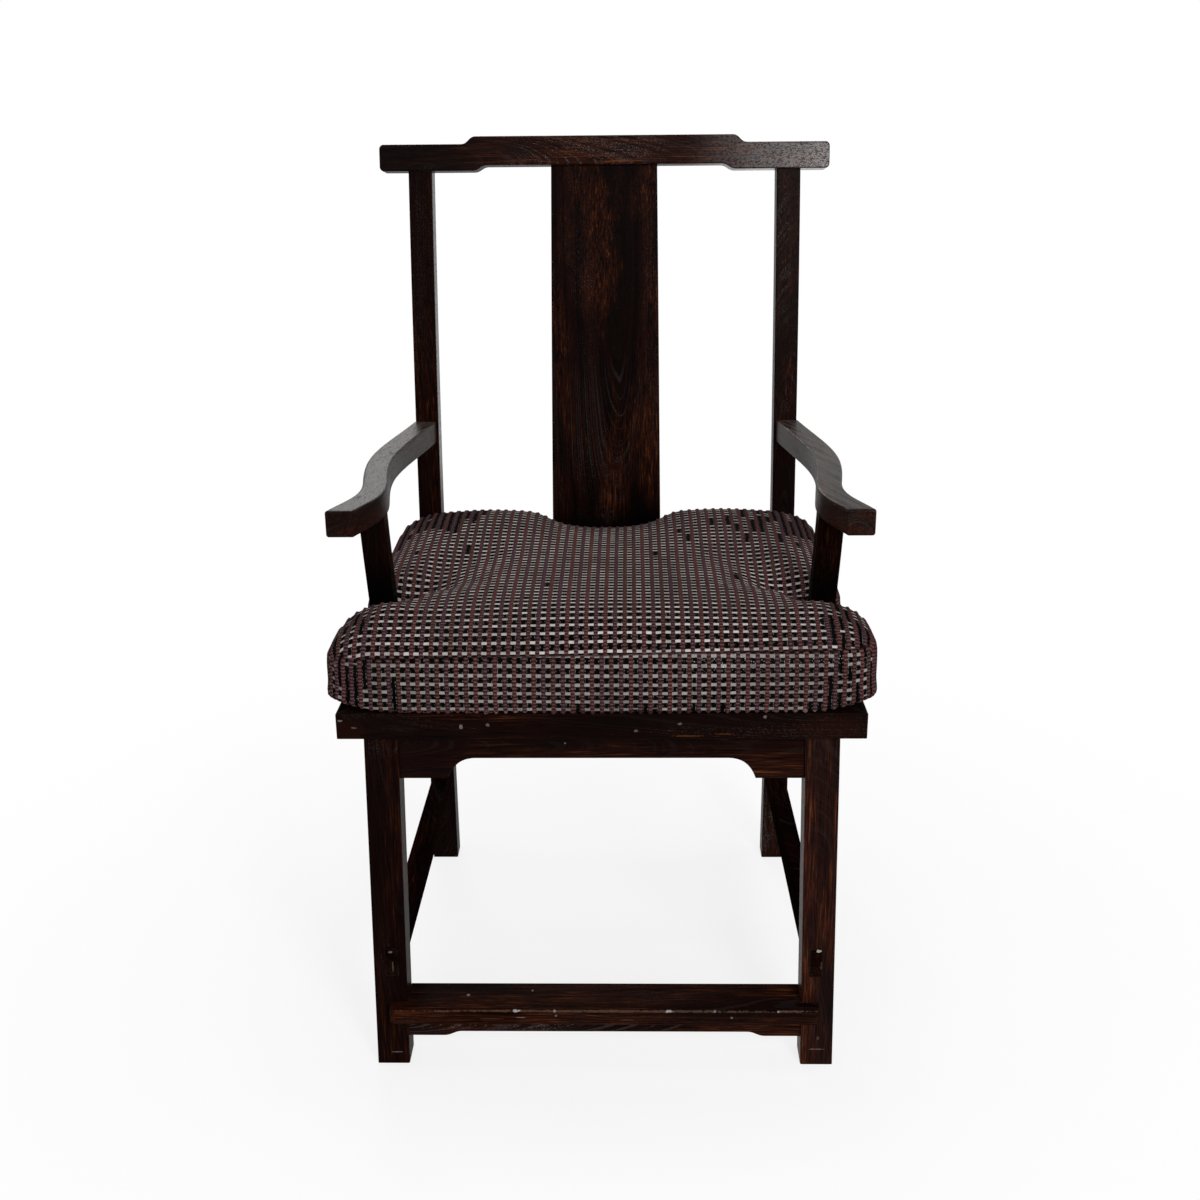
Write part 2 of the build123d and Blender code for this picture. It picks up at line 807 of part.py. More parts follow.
def side_apron_tongue(gap=0.0):
    """Tongues at both ends of the right side apron, as one bar."""
    middle = apron_recess + apron_thickness / 2
    front_y = front_leg_depth - stub_tenon - gap
    rear_y = rear_post_face(frame_underside) + stub_tenon + gap
    half = apron_tongue_thickness / 2 + gap
    outer = side_line(middle - half, front_y, rear_y)
    inner = side_line(middle + half, front_y, rear_y)
    return plan_prism([outer[0], outer[1], inner[1], inner[0]], grown(tongue_range(), gap))


def side_apron(blanks):
    """Apron under a side rail, between the front leg and the rear post."""
    front_y = front_leg_depth / 2
    rear_y = rear_post_setback + rear_post_depth / 2
    outer = side_line(apron_recess, front_y, rear_y)
    inner = side_line(apron_recess + apron_thickness, front_y, rear_y)
    board = plan_prism([outer[0], outer[1], inner[1], inner[0]], (0, frame_underside))
    clear = rear_post_face(frame_underside) - front_leg_depth
    middle = front_leg_depth + clear / 2
    outline = apron_outline(clear / 2, side_apron_end_length, front_leg_depth)
    view = Pos(0, middle, 0) * side_prism(outline, (0, far))
    ends = side_apron_tongue() & blanks
    return ((board & view) - blanks) + ends


# ---------------------------------------------------------------- stretchers and footrest
def side_stretcher_line(inset, front_y, rear_y):
    """Two plan points a set distance inside the legs' outer faces at stretcher height."""
    level = side_stretcher_height - stretcher_height / 2
    return [(front_leg_outer(level) - inset, front_y), (rear_post_outer(level) - inset, rear_y)]


def side_stretcher_bar(width, front_y, rear_y, gap=0.0):
    """Straight bar between the two legs of one side."""
    middle = stretcher_inset + stretcher_width / 2
    outer = side_stretcher_line(middle - width / 2 - gap, front_y, rear_y)
    inner = side_stretcher_line(middle + width / 2 + gap, front_y, rear_y)
    level = grown((side_stretcher_height - stretcher_height, side_stretcher_height), gap)
    return plan_prism([outer[0], outer[1], inner[1], inner[0]], level)


def side_stretcher_tenon(gap=0.0):
    """Through tenons at both ends, as one bar."""
    level = side_stretcher_height - stretcher_height / 2
    rear_y = rear_post_face(level) + rear_post_depth + tenon_reveal
    return side_stretcher_bar(stretcher_tenon_width, -tenon_reveal, rear_y, gap)


def side_stretcher(blanks):
    """Side stretcher, shouldered on the legs, its tenons showing front and back."""
    front_y = front_leg_depth / 2
    rear_y = rear_post_setback + rear_post_depth / 2
    bar = softened(side_stretcher_bar(stretcher_width, front_y, rear_y), stretcher_height * 2)
    return (bar - blanks) + side_stretcher_tenon()


def rear_stretcher_bar(height, depth, half_length, gap=0.0):
    """Straight bar across the back between the rear legs."""
    level = rear_stretcher_height - rear_stretcher_thickness / 2
    face = rear_post_face(level) + rear_stretcher_setback
    middle = face + stretcher_width / 2
    return block(
        (-half_length - gap, half_length + gap),
        grown(around(middle, depth), gap),
        grown(around(level, height), gap),
    )


def rear_stretcher_tenon(gap=0.0):
    """Stopped tenons at both ends of the rear stretcher, as one bar."""
    level = rear_stretcher_height - rear_stretcher_thickness / 2
    half = rear_post_outer(level) - rear_post_thickness(level) + blind_tenon
    return rear_stretcher_bar(rear_stretcher_tenon_height, stretcher_tenon_width, half, gap)


def rear_stretcher(post_blanks):
    """Rear stretcher, set higher than the sides so that no two mortises meet."""
    half = rear_post_outer(rear_stretcher_height)
    bar = rear_stretcher_bar(rear_stretcher_thickness, stretcher_width, half)
    return (softened(bar, stretcher_height * 2) - post_blanks) + rear_stretcher_tenon()


def footrest_tenon(gap=0.0):
    """Stopped tenons of the footrest in the front legs, as one bar."""
    inner = front_leg_outer(footrest_height) - front_leg_width + blind_tenon + gap
    level = around(footrest_height - footrest_thickness / 2, footrest_tenon_thickness)
    depth = around(front_leg_depth / 2, footrest_tenon_width)
    return block((-inner, inner), grown(depth, gap), grown(level, gap))


def footrest(leg_blanks):
    """Footrest board with a rounded lip that wraps in front of the legs."""
    level = (footrest_height - footrest_thickness, footrest_height)
    lip_half = front_leg_outer(0) - footrest_lip_inset
    lip = block((-lip_half, lip_half), (-footrest_lip, 0), level)
    corners = lip.edges().filter_by(Axis.Z).group_by(Axis.Y)[0]
    lip = fillet(corners, footrest_corner_radius)
    front_rims = [edge for edge in lip.edges() if edge.center().Y < -footrest_lip / 3]
    lip = fillet([edge for edge in front_rims if edge.length > footrest_thickness / 2], softening)
    half = front_leg_outer(footrest_height)
    board = block((-half, half), (0, front_leg_depth), level) - leg_blanks
    return (lip + board) + footrest_tenon()


def footrest_apron_tongue(gap=0.0):
    """Tongues of the footrest's apron in the front legs, as one bar."""
    inner = front_leg_outer(footrest_height) - front_leg_width + stub_tenon + gap
    top = footrest_height - footrest_thickness
    level = grown((top - footrest_apron_height, top), -tongue_margin)
    middle = footrest_apron_recess + footrest_apron_thickness / 2
    depth = around(middle, apron_tongue_thickness)
    return block((-inner, inner), grown(depth, gap), grown(level, gap))


def footrest_apron(leg_blanks):
    """Narrow apron under the footrest, a little deeper at its ends."""
    top = footrest_height - footrest_thickness
    level = top - footrest_apron_height
    foot = top - footrest_apron_end_height
    end = front_leg_outer(0) - front_leg_width / 2
    flat = footrest_apron_middle_length / 2
    step = flat + footrest_apron_step_length
    right = [
        Line((0, top), (end, top)),
        Line((end, top), (end, foot)),
        Line((end, foot), (step, foot)),
        Spline((step, foot), (flat, level), tangents=((-1, 0), (-1, 0))),
        Line((flat, level), (0, level)),
    ]
    outline = right + [mirror(edge, about=Plane.YZ) for edge in right]
    depth = (footrest_apron_recess, footrest_apron_recess + footrest_apron_thickness)
    board = front_prism(outline, depth) - leg_blanks
    return board + (footrest_apron_tongue() & leg_blanks)


# ---------------------------------------------------------------- pegs
def upright_peg(x, y, top, gap=0.0):
    """Peg driven down from a top face."""
    radius = peg_diameter / 2 + gap
    length = peg_length + gap
    peg = Cylinder(radius, length, align=(Align.CENTER, Align.CENTER, Align.MAX))
    return Pos(x, y, top) * peg


def frame_peg_places():
    """Plan places of the pegs through the frame's corner tenons."""
    places = []
    for half, depth in ((frame_half_front, front_tenon_depth()), (frame_half_rear, rear_tenon_depth())):
        for sign in (-1, 1):
            places.append((sign * (half - frame_peg_inset), sum(depth) / 2))
    return places


def frame_pegs(gap=0.0):
    """Four pegs, one through each corner tenon of the seat frame."""
    return [upright_peg(x, y, seat_height, gap) for x, y in frame_peg_places()]


def crest_pegs(gap=0.0):
    """Two pegs driven from the back of the crest rail through the posts' tenons."""
    middle = rear_post_outer(crest_underside) - rear_post_width / 2
    length = peg_length + gap
    peg = Cylinder(peg_diameter / 2 + gap, length, align=(Align.CENTER, Align.CENTER, Align.MIN))
    level = post_tenon_length / 2
    lying = Pos(0, crest_depth, level) * Rot(90, 0, 0) * peg
    return [on_crest() * Pos(sign * middle, 0, 0) * lying for sign in (-1, 1)]


def arm_pegs(gap=0.0):
    """Two pegs driven from the outer faces of the rear posts through the arms' tenons."""
    level = arm_rear_height - arm_thickness / 2
    outer = rear_post_outer(level)
    length = peg_length + gap
    peg = Cylinder(peg_diameter / 2 + gap, length, align=(Align.CENTER, Align.CENTER, Align.MAX))
    right = Pos(outer, rear_post_setback + blind_tenon / 2, level) * Rot(0, 90, 0) * peg
    return [other_side(right), right]


# ---------------------------------------------------------------- cushion
def cushion_outline(inset):
    """Plan of the cushion: front lobes, a notch for each arm post, narrower rear lobes."""
    front = frame_front - cushion_front_overhang + inset
    rear = rear_post_setback - cushion_back_gap - inset
    lobe = frame_half_front + cushion_side_overhang
    rear_half = frame_half_rear - cushion_rear_inset
    notch = lobe - cushion_notch_depth - inset
    half_post = arm_post_size / 2 + cushion_notch_margin + inset
    notch_front = arm_post_top_setback - half_post
    notch_rear = arm_post_foot_setback + half_post
    right = [
        (lobe - inset, front),
        (lobe - inset, notch_front),
        (notch, notch_front),
        (notch, notch_rear),
        (rear_half - inset, notch_rear),
        (rear_half - inset, rear),
    ]
    left = [(-x, y) for x, y in reversed(right)]
    return right + left


def cushion_body(inset):
    """Cushion shape with rounded corners and rims, every wall moved inward by a set distance."""
    outline = make_face(Polyline(*cushion_outline(inset), close=True))
    rows = outline.vertices().group_by(Axis.Y)
    outline = fillet(rows[0] + rows[-1], cushion_corner_radius - inset)
    body = extrude(outline, cushion_thickness - 2 * inset)
    levels = body.faces().sort_by(Axis.Z)
    rims = levels[0].edges() + levels[-1].edges()
    body = fillet(rims, cushion_edge_radius - inset)
    return Pos(0, 0, seat_height + cushion_seat_gap + inset) * body


def zip_strip(gap=0.0):
    """Zip let into the middle of the cover's back."""
    rear = rear_post_setback - cushion_back_gap
    level = seat_height + cushion_seat_gap + cushion_thickness / 2
    return block(
        grown(around(0, zip_length), gap),
        (rear - zip_thickness - gap, rear),
        grown(around(level, zip_width), gap),
    )


# ---------------------------------------------------------------- the chair put together
def both_sides(name, piece):
    """The right-hand piece and its mirror image, under their two names."""
    return {f"right_{name}": piece, f"left_{name}": other_side(piece)}


def build_chair():
    """Every piece of the chair, by name, in its place."""
    leg_blank = front_leg()
    post_blank = rear_post()
    leg_blanks = leg_blank + other_side(leg_blank)
    post_blanks = post_blank + other_side(post_blank)
    side_blanks = leg_blank + post_blank

    right_arm = arm() + arm_tenon()
    right_arm_post = arm_post() - arm_above() + arm_post_foot() + arm_post_head()
    stretcher = side_stretcher(side_blanks)
    apron = side_apron(side_blanks)

    leg = softened(leg_blank, front_leg_width * 2) + front_leg_tenon()
    leg -= side_stretcher_tenon(joint_gap)
    leg -= footrest_tenon(joint_gap)
    leg -= footrest_apron_tongue(joint_gap)
    leg -= front_apron_tongue(joint_gap)
    leg -= side_apron_tongue(joint_gap)

    post = softened(post_blank, rear_post_depth * 2) - above_crest_underside(0) + post_tenon()
    post -= side_stretcher_tenon(joint_gap)
    post -= rear_stretcher_tenon(joint_gap)
    post -= rear_apron_tongue(joint_gap)
    post -= side_apron_tongue(joint_gap)
    post -= arm_tenon(joint_gap)
    post -= arm_pegs(peg_gap)[1]
    post -= crest_pegs(peg_gap)[1]

    right_arm -= arm_post_head(joint_gap)
    right_arm -= arm_pegs(peg_gap)[1]

    crest = crest_rail()
    for tenon in (post_tenon(joint_gap), other_side(post_tenon(joint_gap))):
        crest -= tenon
    crest -= splat_head(joint_gap)
    for peg in crest_pegs(peg_gap):
        crest -= peg

    chair = {"crest_rail": crest, "back_splat": back_splat()}
    chair |= both_sides("rear_post", post)
    chair |= both_sides("front_leg", leg)
    chair |= both_sides("arm", right_arm)
    chair |= both_sides("arm_post", right_arm_post)
    chair |= seat_frame(post_blanks)
    for name, board in zip(("left", "middle", "right"), seat_boards()):
        chair[f"seat_board_{name}"] = board
    for name, middle in zip(("front", "rear"), batten_places()):
        chair[f"seat_batten_{name}"] = batten(middle)
    chair["front_apron"] = front_apron(leg_blanks)
    chair["rear_apron"] = rear_apron(post_blanks)
    chair |= both_sides("apron", apron)
    chair |= both_sides("stretcher", stretcher)
    chair["rear_stretcher"] = rear_stretcher(post_blanks)
    chair["footrest"] = footrest(leg_blanks)
    chair["footrest_apron"] = footrest_apron(leg_blanks)
    chair["crest_pegs"] = Compound(crest_pegs())
    chair["arm_pegs"] = Compound(arm_pegs())
    chair["seat_frame_pegs"] = Compound(frame_pegs())
    chair["cushion_cover"] = cushion_body(0) - cushion_body(cover_thickness) - zip_strip(foam_gap)
    chair["cushion_foam"] = cushion_body(cover_thickness + foam_gap)
    chair["cushion_zip"] = zip_strip()
    return chair


def centred(chair):
    """Move the chair so that its bounding box is centred over the origin."""
    boxes = [piece.bounding_box() for piece in chair.values()]
    middle = (min(box.min.Y for box in boxes) + max(box.max.Y for box in boxes)) / 2
    return {name: Pos(0, -middle, 0) * piece for name, piece in chair.items()}, middle


chair, front_legs_face = centred(build_chair())
os.makedirs("parts", exist_ok=True)
for name, piece in chair.items():
    export_step(piece, f"parts/{name}.step")
print(f"{len(chair)} pieces")
print(f"front legs' face at y = {-front_legs_face:.3f}, crest underside {crest_underside:.2f}")
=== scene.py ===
import math
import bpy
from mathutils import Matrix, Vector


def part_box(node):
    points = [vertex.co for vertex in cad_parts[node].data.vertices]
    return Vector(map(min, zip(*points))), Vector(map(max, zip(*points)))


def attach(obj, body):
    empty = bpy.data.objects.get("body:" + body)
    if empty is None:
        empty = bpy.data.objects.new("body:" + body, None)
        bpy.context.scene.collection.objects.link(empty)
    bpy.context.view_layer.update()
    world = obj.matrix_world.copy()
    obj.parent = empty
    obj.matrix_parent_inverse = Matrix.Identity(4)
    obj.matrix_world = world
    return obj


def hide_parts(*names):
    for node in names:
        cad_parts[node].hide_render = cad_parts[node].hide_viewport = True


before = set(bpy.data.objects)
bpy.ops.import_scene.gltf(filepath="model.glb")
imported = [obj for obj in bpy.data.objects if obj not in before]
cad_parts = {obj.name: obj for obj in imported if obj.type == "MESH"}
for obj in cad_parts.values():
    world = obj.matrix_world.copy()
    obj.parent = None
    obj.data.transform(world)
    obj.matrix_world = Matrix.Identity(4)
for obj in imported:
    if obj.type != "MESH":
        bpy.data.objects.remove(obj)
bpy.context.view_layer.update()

from types import SimpleNamespace

import bmesh
import bpy
import numpy as np
from mathutils import Matrix, Vector
from mathutils.bvhtree import BVHTree

scene = bpy.context.scene
print("frame loaded:", len(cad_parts), "nodes")


def findSocket(sockets, key):
    # a key is a place in the list, an identifier or a plain name
    if isinstance(key, int):
        return sockets[key]
    for socket in sockets:
        if socket.identifier == key:
            return socket
    return next(s for s in sockets if s.name == key and s.enabled)


class Val:
    # a socket that ordinary sums work on, such as 1 - mask * 0.5
    def __init__(self, look, socket):
        self.look, self.socket = look, socket

    def sum(self, operation, *values):
        return self.look.node("ShaderNodeMath", {"operation": operation}, dict(enumerate(values)))

    def __add__(self, other): return self.sum("ADD", self, other)
    def __radd__(self, other): return self.sum("ADD", other, self)
    def __sub__(self, other): return self.sum("SUBTRACT", self, other)
    def __rsub__(self, other): return self.sum("SUBTRACT", other, self)
    def __mul__(self, other): return self.sum("MULTIPLY", self, other)
    def __rmul__(self, other): return self.sum("MULTIPLY", other, self)
    def __truediv__(self, other): return self.sum("DIVIDE", self, other)
    def __pow__(self, other): return self.sum("POWER", self, other)
    def __mod__(self, other): return self.sum("FLOORED_MODULO", self, other)
    def __abs__(self): return self.sum("ABSOLUTE", self)
    def __gt__(self, other): return self.sum("GREATER_THAN", self, other)
    def __lt__(self, other): return self.sum("LESS_THAN", self, other)


class Nodes:
    # the maker of one tree's nodes
    def __init__(self, tree):
        self.tree = tree
        tree.nodes.clear()

    def node(self, kind, settings=None, sockets=None, out=0):
        made = self.tree.nodes.new(kind)
        for key, value in (settings or {}).items():
            setattr(made, key, value)
        for key, value in (sockets or {}).items():
            socket = findSocket(made.inputs, key)
            if isinstance(value, Val):
                self.tree.links.new(value.socket, socket)
            elif socket.type == "RGBA" and len(value) == 3:
                socket.default_value = (*value, 1.0)
            else:
                socket.default_value = value
        self.last = made
        return Val(self, findSocket(made.outputs, out)) if made.outputs else made

    def other(self, out):
        # one more output of the node made last
        return Val(self, findSocket(self.last.outputs, out))


class Look(Nodes):
    # one material and its nodes
    def __init__(self, name):
        self.material = bpy.data.materials.new(name)
        self.material.use_nodes = True
        super().__init__(self.material.node_tree)
        self.seen = {}

    def place(self):
        # the three Object coordinates, in metres, and the vector
        if "place" not in self.seen:
            vector = self.node("ShaderNodeTexCoord", out="Object")
            x = self.node("ShaderNodeSeparateXYZ", None, {"Vector": vector}, out="X")
            self.seen["place"] = vector, x, self.other("Y"), self.other("Z")
        return self.seen["place"]

    def vector(self, x, y, z):
        return self.node("ShaderNodeCombineXYZ", None, {"X": x, "Y": y, "Z": z})

    def noise(self, vector, scale=1.0, detail=2.0, rough=0.5):
        return self.node("ShaderNodeTexNoise", None, {
            "Vector": vector, "Scale": scale, "Detail": detail, "Roughness": rough}, out="Fac")

    def line(self, w, scale=1.0, detail=2.0, rough=0.5):
        return self.node("ShaderNodeTexNoise", {"noise_dimensions": "1D"}, {
            "W": w, "Scale": scale, "Detail": detail, "Roughness": rough}, out="Fac")

    def dice(self, number):
        return self.node("ShaderNodeTexWhiteNoise", {"noise_dimensions": "1D"}, {"W": number}, out="Value")

    def wave(self, angle):
        return self.node("ShaderNodeMath", {"operation": "SINE"}, {0: angle})

    def between(self, value, low, high, toLow=0.0, toHigh=1.0):
        return self.node("ShaderNodeMapRange", {"interpolation_type": "SMOOTHSTEP"}, {
            "Value": value, "From Min": low, "From Max": high,
            "To Min": toLow, "To Max": toHigh}, out="Result")

    def blend(self, factor, first, second):
        return self.node("ShaderNodeMix", {"data_type": "RGBA"}, {
            "Factor_Float": factor, "A_Color": first, "B_Color": second}, out="Result_Color")

    def bump(self, height, strength, distance, normal=None):
        sockets = {"Height": height, "Strength": strength, "Distance": distance}
        if normal is not None:
            sockets["Normal"] = normal
        return self.node("ShaderNodeBump", None, sockets, out="Normal")

    def finish(self, **sockets):
        # sockets are the shader's own, such as baseColor for Base Color
        named = {"".join(" " + c if c.isupper() else c for c in k).title(): v for k, v in sockets.items()}
        named = {{"Specular Level": "Specular IOR Level"}.get(k, k): v for k, v in named.items()}
        shader = self.node("ShaderNodeBsdfPrincipled", None, named, out="BSDF")
        self.node("ShaderNodeOutputMaterial", None, {"Surface": shader})
        return self.material


class Shape(Nodes):
    # one Geometry Nodes tree with named inputs
    def __init__(self, name, inputs):
        group = bpy.data.node_groups.new(name, "GeometryNodeTree")
        super().__init__(group)
        kinds = {"Geometry": "Geometry", **inputs}
        for label, kind in kinds.items():
            group.interface.new_socket(label, in_out="INPUT", socket_type="NodeSocket" + kind)
        group.interface.new_socket("Geometry", in_out="OUTPUT", socket_type="NodeSocketGeometry")
        self.node("NodeGroupInput", out="Geometry")
        self.given = {label: self.other(label) for label in kinds}

    def scatter(self, instance, turns=None):
        # the instance on every vertex of the object given
        points = self.node("GeometryNodeMeshToPoints", None, {"Mesh": self.given["Geometry"]}, out="Points")
        return self.node("GeometryNodeInstanceOnPoints", None, {
            "Points": points, "Instance": instance, **(turns or {})}, out="Instances")

    def finish(self, geometry):
        real = self.node("GeometryNodeRealizeInstances", None, {"Geometry": geometry}, out="Geometry")
        painted = self.node("GeometryNodeSetMaterial", None, {
            "Geometry": real, "Material": self.given["Material"]}, out="Geometry")
        self.node("NodeGroupOutput", None, {"Geometry": painted})

    def made(self, name, base, values):
        # the base object run through the tree, as a plain mesh object
        modifier = base.modifiers.new(name, "NODES")
        modifier.node_group = self.tree
        for label, value in values.items():
            items = self.tree.interface.items_tree
            modifier[next(s.identifier for s in items if s.name == label and s.in_out == "INPUT")] = value
        mesh = realMesh(base)
        bpy.data.objects.remove(base)
        mesh.shade_smooth()
        return objectOf(name, mesh)


def objectOf(name, data, material=None):
    data.name = name
    made = bpy.data.objects.new(name, data)
    scene.collection.objects.link(made)
    if material:
        data.materials.append(material)
    return made


def objectFromBmesh(name, bm, material=None):
    mesh = bpy.data.meshes.new(name)
    bm.to_mesh(mesh)
    bm.free()
    return objectOf(name, mesh, material)


def objectFrom(name, vertices, faces, material=None, smooth=True):
    mesh = bpy.data.meshes.new(name)
    mesh.from_pydata([tuple(v) for v in vertices], [], [tuple(f) for f in faces])
    mesh.update()
    mesh.shade_smooth() if smooth else mesh.shade_flat()
    return objectOf(name, mesh, material)


def pointsOf(mesh):
    points = np.zeros(len(mesh.vertices) * 3, np.float32)
    mesh.vertices.foreach_get("co", points)
    return points.reshape(-1, 3).astype(float)


def setPoints(mesh, points):
    mesh.vertices.foreach_set("co", points.astype(np.float32).ravel())
    mesh.update()


def realMesh(piece):
    # the mesh that its modifiers make of it, without them
    bpy.context.view_layer.update()
    graph = bpy.context.evaluated_depsgraph_get()
    mesh = bpy.data.meshes.new_from_object(piece.evaluated_get(graph))
    piece.modifiers.clear()
    return mesh


def applied(piece):
    mesh = realMesh(piece)
    old, piece.data = piece.data, mesh
    bpy.data.meshes.remove(old)
    return piece


camera = {
    "place": (0.0345, -1.9054, 1.2224),
    "right": (0.99980, 0.01766, -0.00935),
    "up": (0.00274, 0.34233, 0.93958),
    "lens": 46.53,
    "shiftY": -0.0061,
}


def makeCamera(p):
    data = bpy.data.cameras.new("camera")
    data.lens, data.sensor_width, data.shift_y = p["lens"], 36.0, p["shiftY"]
    data.clip_start, data.clip_end = 0.05, 60.0
    right, up = Vector(p["right"]).normalized(), Vector(p["up"])
    back = right.cross(up).normalized()
    up = back.cross(right)
    turn = Matrix((right, up, back)).transposed().to_4x4()
    made = objectOf("camera", data)
    made.matrix_world = Matrix.Translation(p["place"]) @ turn
    scene.camera = made


makeCamera(camera)
scene.view_settings.view_transform = "Standard"


studio = {
    "floorSize": 12.0,
    "floorColour": (0.86, 0.86, 0.855),
    "nearWhite": 0.80,       # how much of the floor is plain white near the chair
    "fadeFrom": 0.35,
    "fadeTo": 1.25,
    "world": (0.27, 0.27, 0.275),
}
lamps = {
    # place, what it points at, width, height, power
    "key": ((1.15, -2.75, 2.15), (0.05, 0.0, 0.75), 0.75, 0.6, 34.0),
    "window": ((1.00, -2.75, 1.42), (0.1, 0.0, 0.9), 0.60, 0.55, 21.0),
    "front": ((-0.9, -3.0, 1.9), (0.0, 0.0, 0.5), 1.6, 1.2, 9.0),
    "above": ((0.1, 0.1, 3.2), (0.0, 0.0, 0.5), 1.8, 1.8, 29.0),
    "behind": ((-0.6, 2.8, 2.0), (0.0, 0.2, 0.7), 1.4, 1.0, 32.0),
    "left": ((-2.8, 0.6, 1.7), (0.0, 0.0, 0.6), 1.4, 1.0, 10.0),
    "right": ((2.8, 0.6, 1.7), (0.0, 0.0, 0.6), 1.4, 1.0, 10.0),
}


def whiteForViewer(look, plain, white, share=1.0):
    # rays that see the background find it white, and the rest finds the plain finish
    seen = look.node("ShaderNodeLightPath", out="Is Camera Ray")
    mirrored, through = look.other("Is Glossy Ray"), look.other("Is Transmission Ray")
    seen = seen + mirrored + through
    seen = seen.sum("MINIMUM", seen, 1.0)
    return look.node("ShaderNodeMixShader", None, {0: seen * share, 1: plain, 2: white})


def makeStudio(p):
    look = Look("studioFloor")
    vector, x, y, z = look.place()
    away = (x * x + y * y) ** 0.5
    share = look.between(away, p["fadeFrom"], p["fadeTo"], p["nearWhite"], 1.0)
    grain = look.noise(vector, 40.0, 3.0)
    plain = look.node("ShaderNodeBsdfDiffuse", None, {
        "Color": look.blend(grain * 0.04, p["floorColour"], (0.8, 0.8, 0.8))})
    white = look.node("ShaderNodeEmission", None, {"Color": (1, 1, 1), "Strength": 1.0})
    look.node("ShaderNodeOutputMaterial", None, {"Surface": whiteForViewer(look, plain, white, share)})
    half = p["floorSize"] / 2
    corners = [(-half, -half, 0), (half, -half, 0), (half, half, 0), (-half, half, 0)]
    objectFrom("floor", corners, [(0, 1, 2, 3)], look.material, smooth=False)

    world = bpy.data.worlds.new("studioWorld")
    scene.world = world
    world.use_nodes = True
    sky = Nodes(world.node_tree)
    room = sky.node("ShaderNodeBackground", None, {"Color": p["world"]})
    white = sky.node("ShaderNodeBackground", None, {"Color": (1, 1, 1)})
    sky.node("ShaderNodeOutputWorld", None, {"Surface": whiteForViewer(sky, room, white)})


def makeLamp(name, place, aim, width, height, power):
    data = bpy.data.lights.new(name, "AREA")
    data.shape, data.size, data.size_y, data.energy = "RECTANGLE", width, height, power
    made = objectOf(name, data)
    made.location = place
    made.rotation_euler = (Vector(aim) - Vector(place)).to_track_quat("-Z", "Y").to_euler()


makeStudio(studio)
for lampName, lampFacts in lamps.items():
    makeLamp(lampName, *lampFacts)
print("studio made")


# lacquered elm, on every wooden node
elm = {
    "ringsPerMetre": 420.0,
    "ground": (0.0042, 0.0015, 0.0013),
    "red": (0.0190, 0.0046, 0.0024),
    "glow": (0.098, 0.029, 0.0070),
    "black": (0.0008, 0.0006, 0.0006),
    "haze": (0.036, 0.032, 0.031),
    "worn": (0.120, 0.070, 0.046),
    "bare": (0.36, 0.33, 0.31),
    "film": (0.062, 0.056, 0.050),
    "roughness": 0.36,
    "edge": 0.0020,
}
plainGloss = 0.012
glossy = {
    "crest_rail": 0.022, "left_arm": 0.026, "right_arm": 0.030, "right_rear_post": 0.025,
    "right_front_leg": 0.020, "left_front_leg": 0.006, "footrest": 0.003,
    "left_arm_post": 0.004, "right_arm_post": 0.004,
    "left_stretcher": 0.0, "right_stretcher": 0.0, "left_apron": 0.0, "right_apron": 0.0}
# waxed by hand: along which axis, from where, full from where, how much, which side
polish = {"crest_rail": ("x", 0.10, 0.22, 1.0, None), "left_rear_post": ("z", 0.56, 0.66, 0.50, 1.0)}
film = {"left_arm": -0.38, "right_arm": 0.38}       # thin film and painted sheen on the arms: how the grain slants
dustAndSheenSpecks = {                                         # how much pale dust and painted sheen sits in the open grain
    "crest_rail": 0.42, "right_rear_post": 0.45, "footrest_apron": 0.5,
    "left_arm": 0.2, "right_arm": 0.4, "left_arm_post": 0.0, "right_arm_post": 0.0}
leans = {"back_splat": -0.13, "crest_rail": 0.16}   # how steeply the rings run out along the piece
# painted shade, where a piece darkens: along which axis, from where, full from where, how much
paintedShade = {
    "crest_rail": ("x", -0.11, -0.23, 0.85), "back_splat": ("z", 0.600, 0.545, 0.85),
    "left_arm_post": ("z", 0.665, 0.585, 0.97), "right_arm_post": ("z", 0.670, 0.590, 0.90)}
sheenLinesWithin = {"back_splat": (0.60, 0.66, 0.73, 0.80)}    # the heights between which grey ring lines show: painted sheen across the middle of the splat
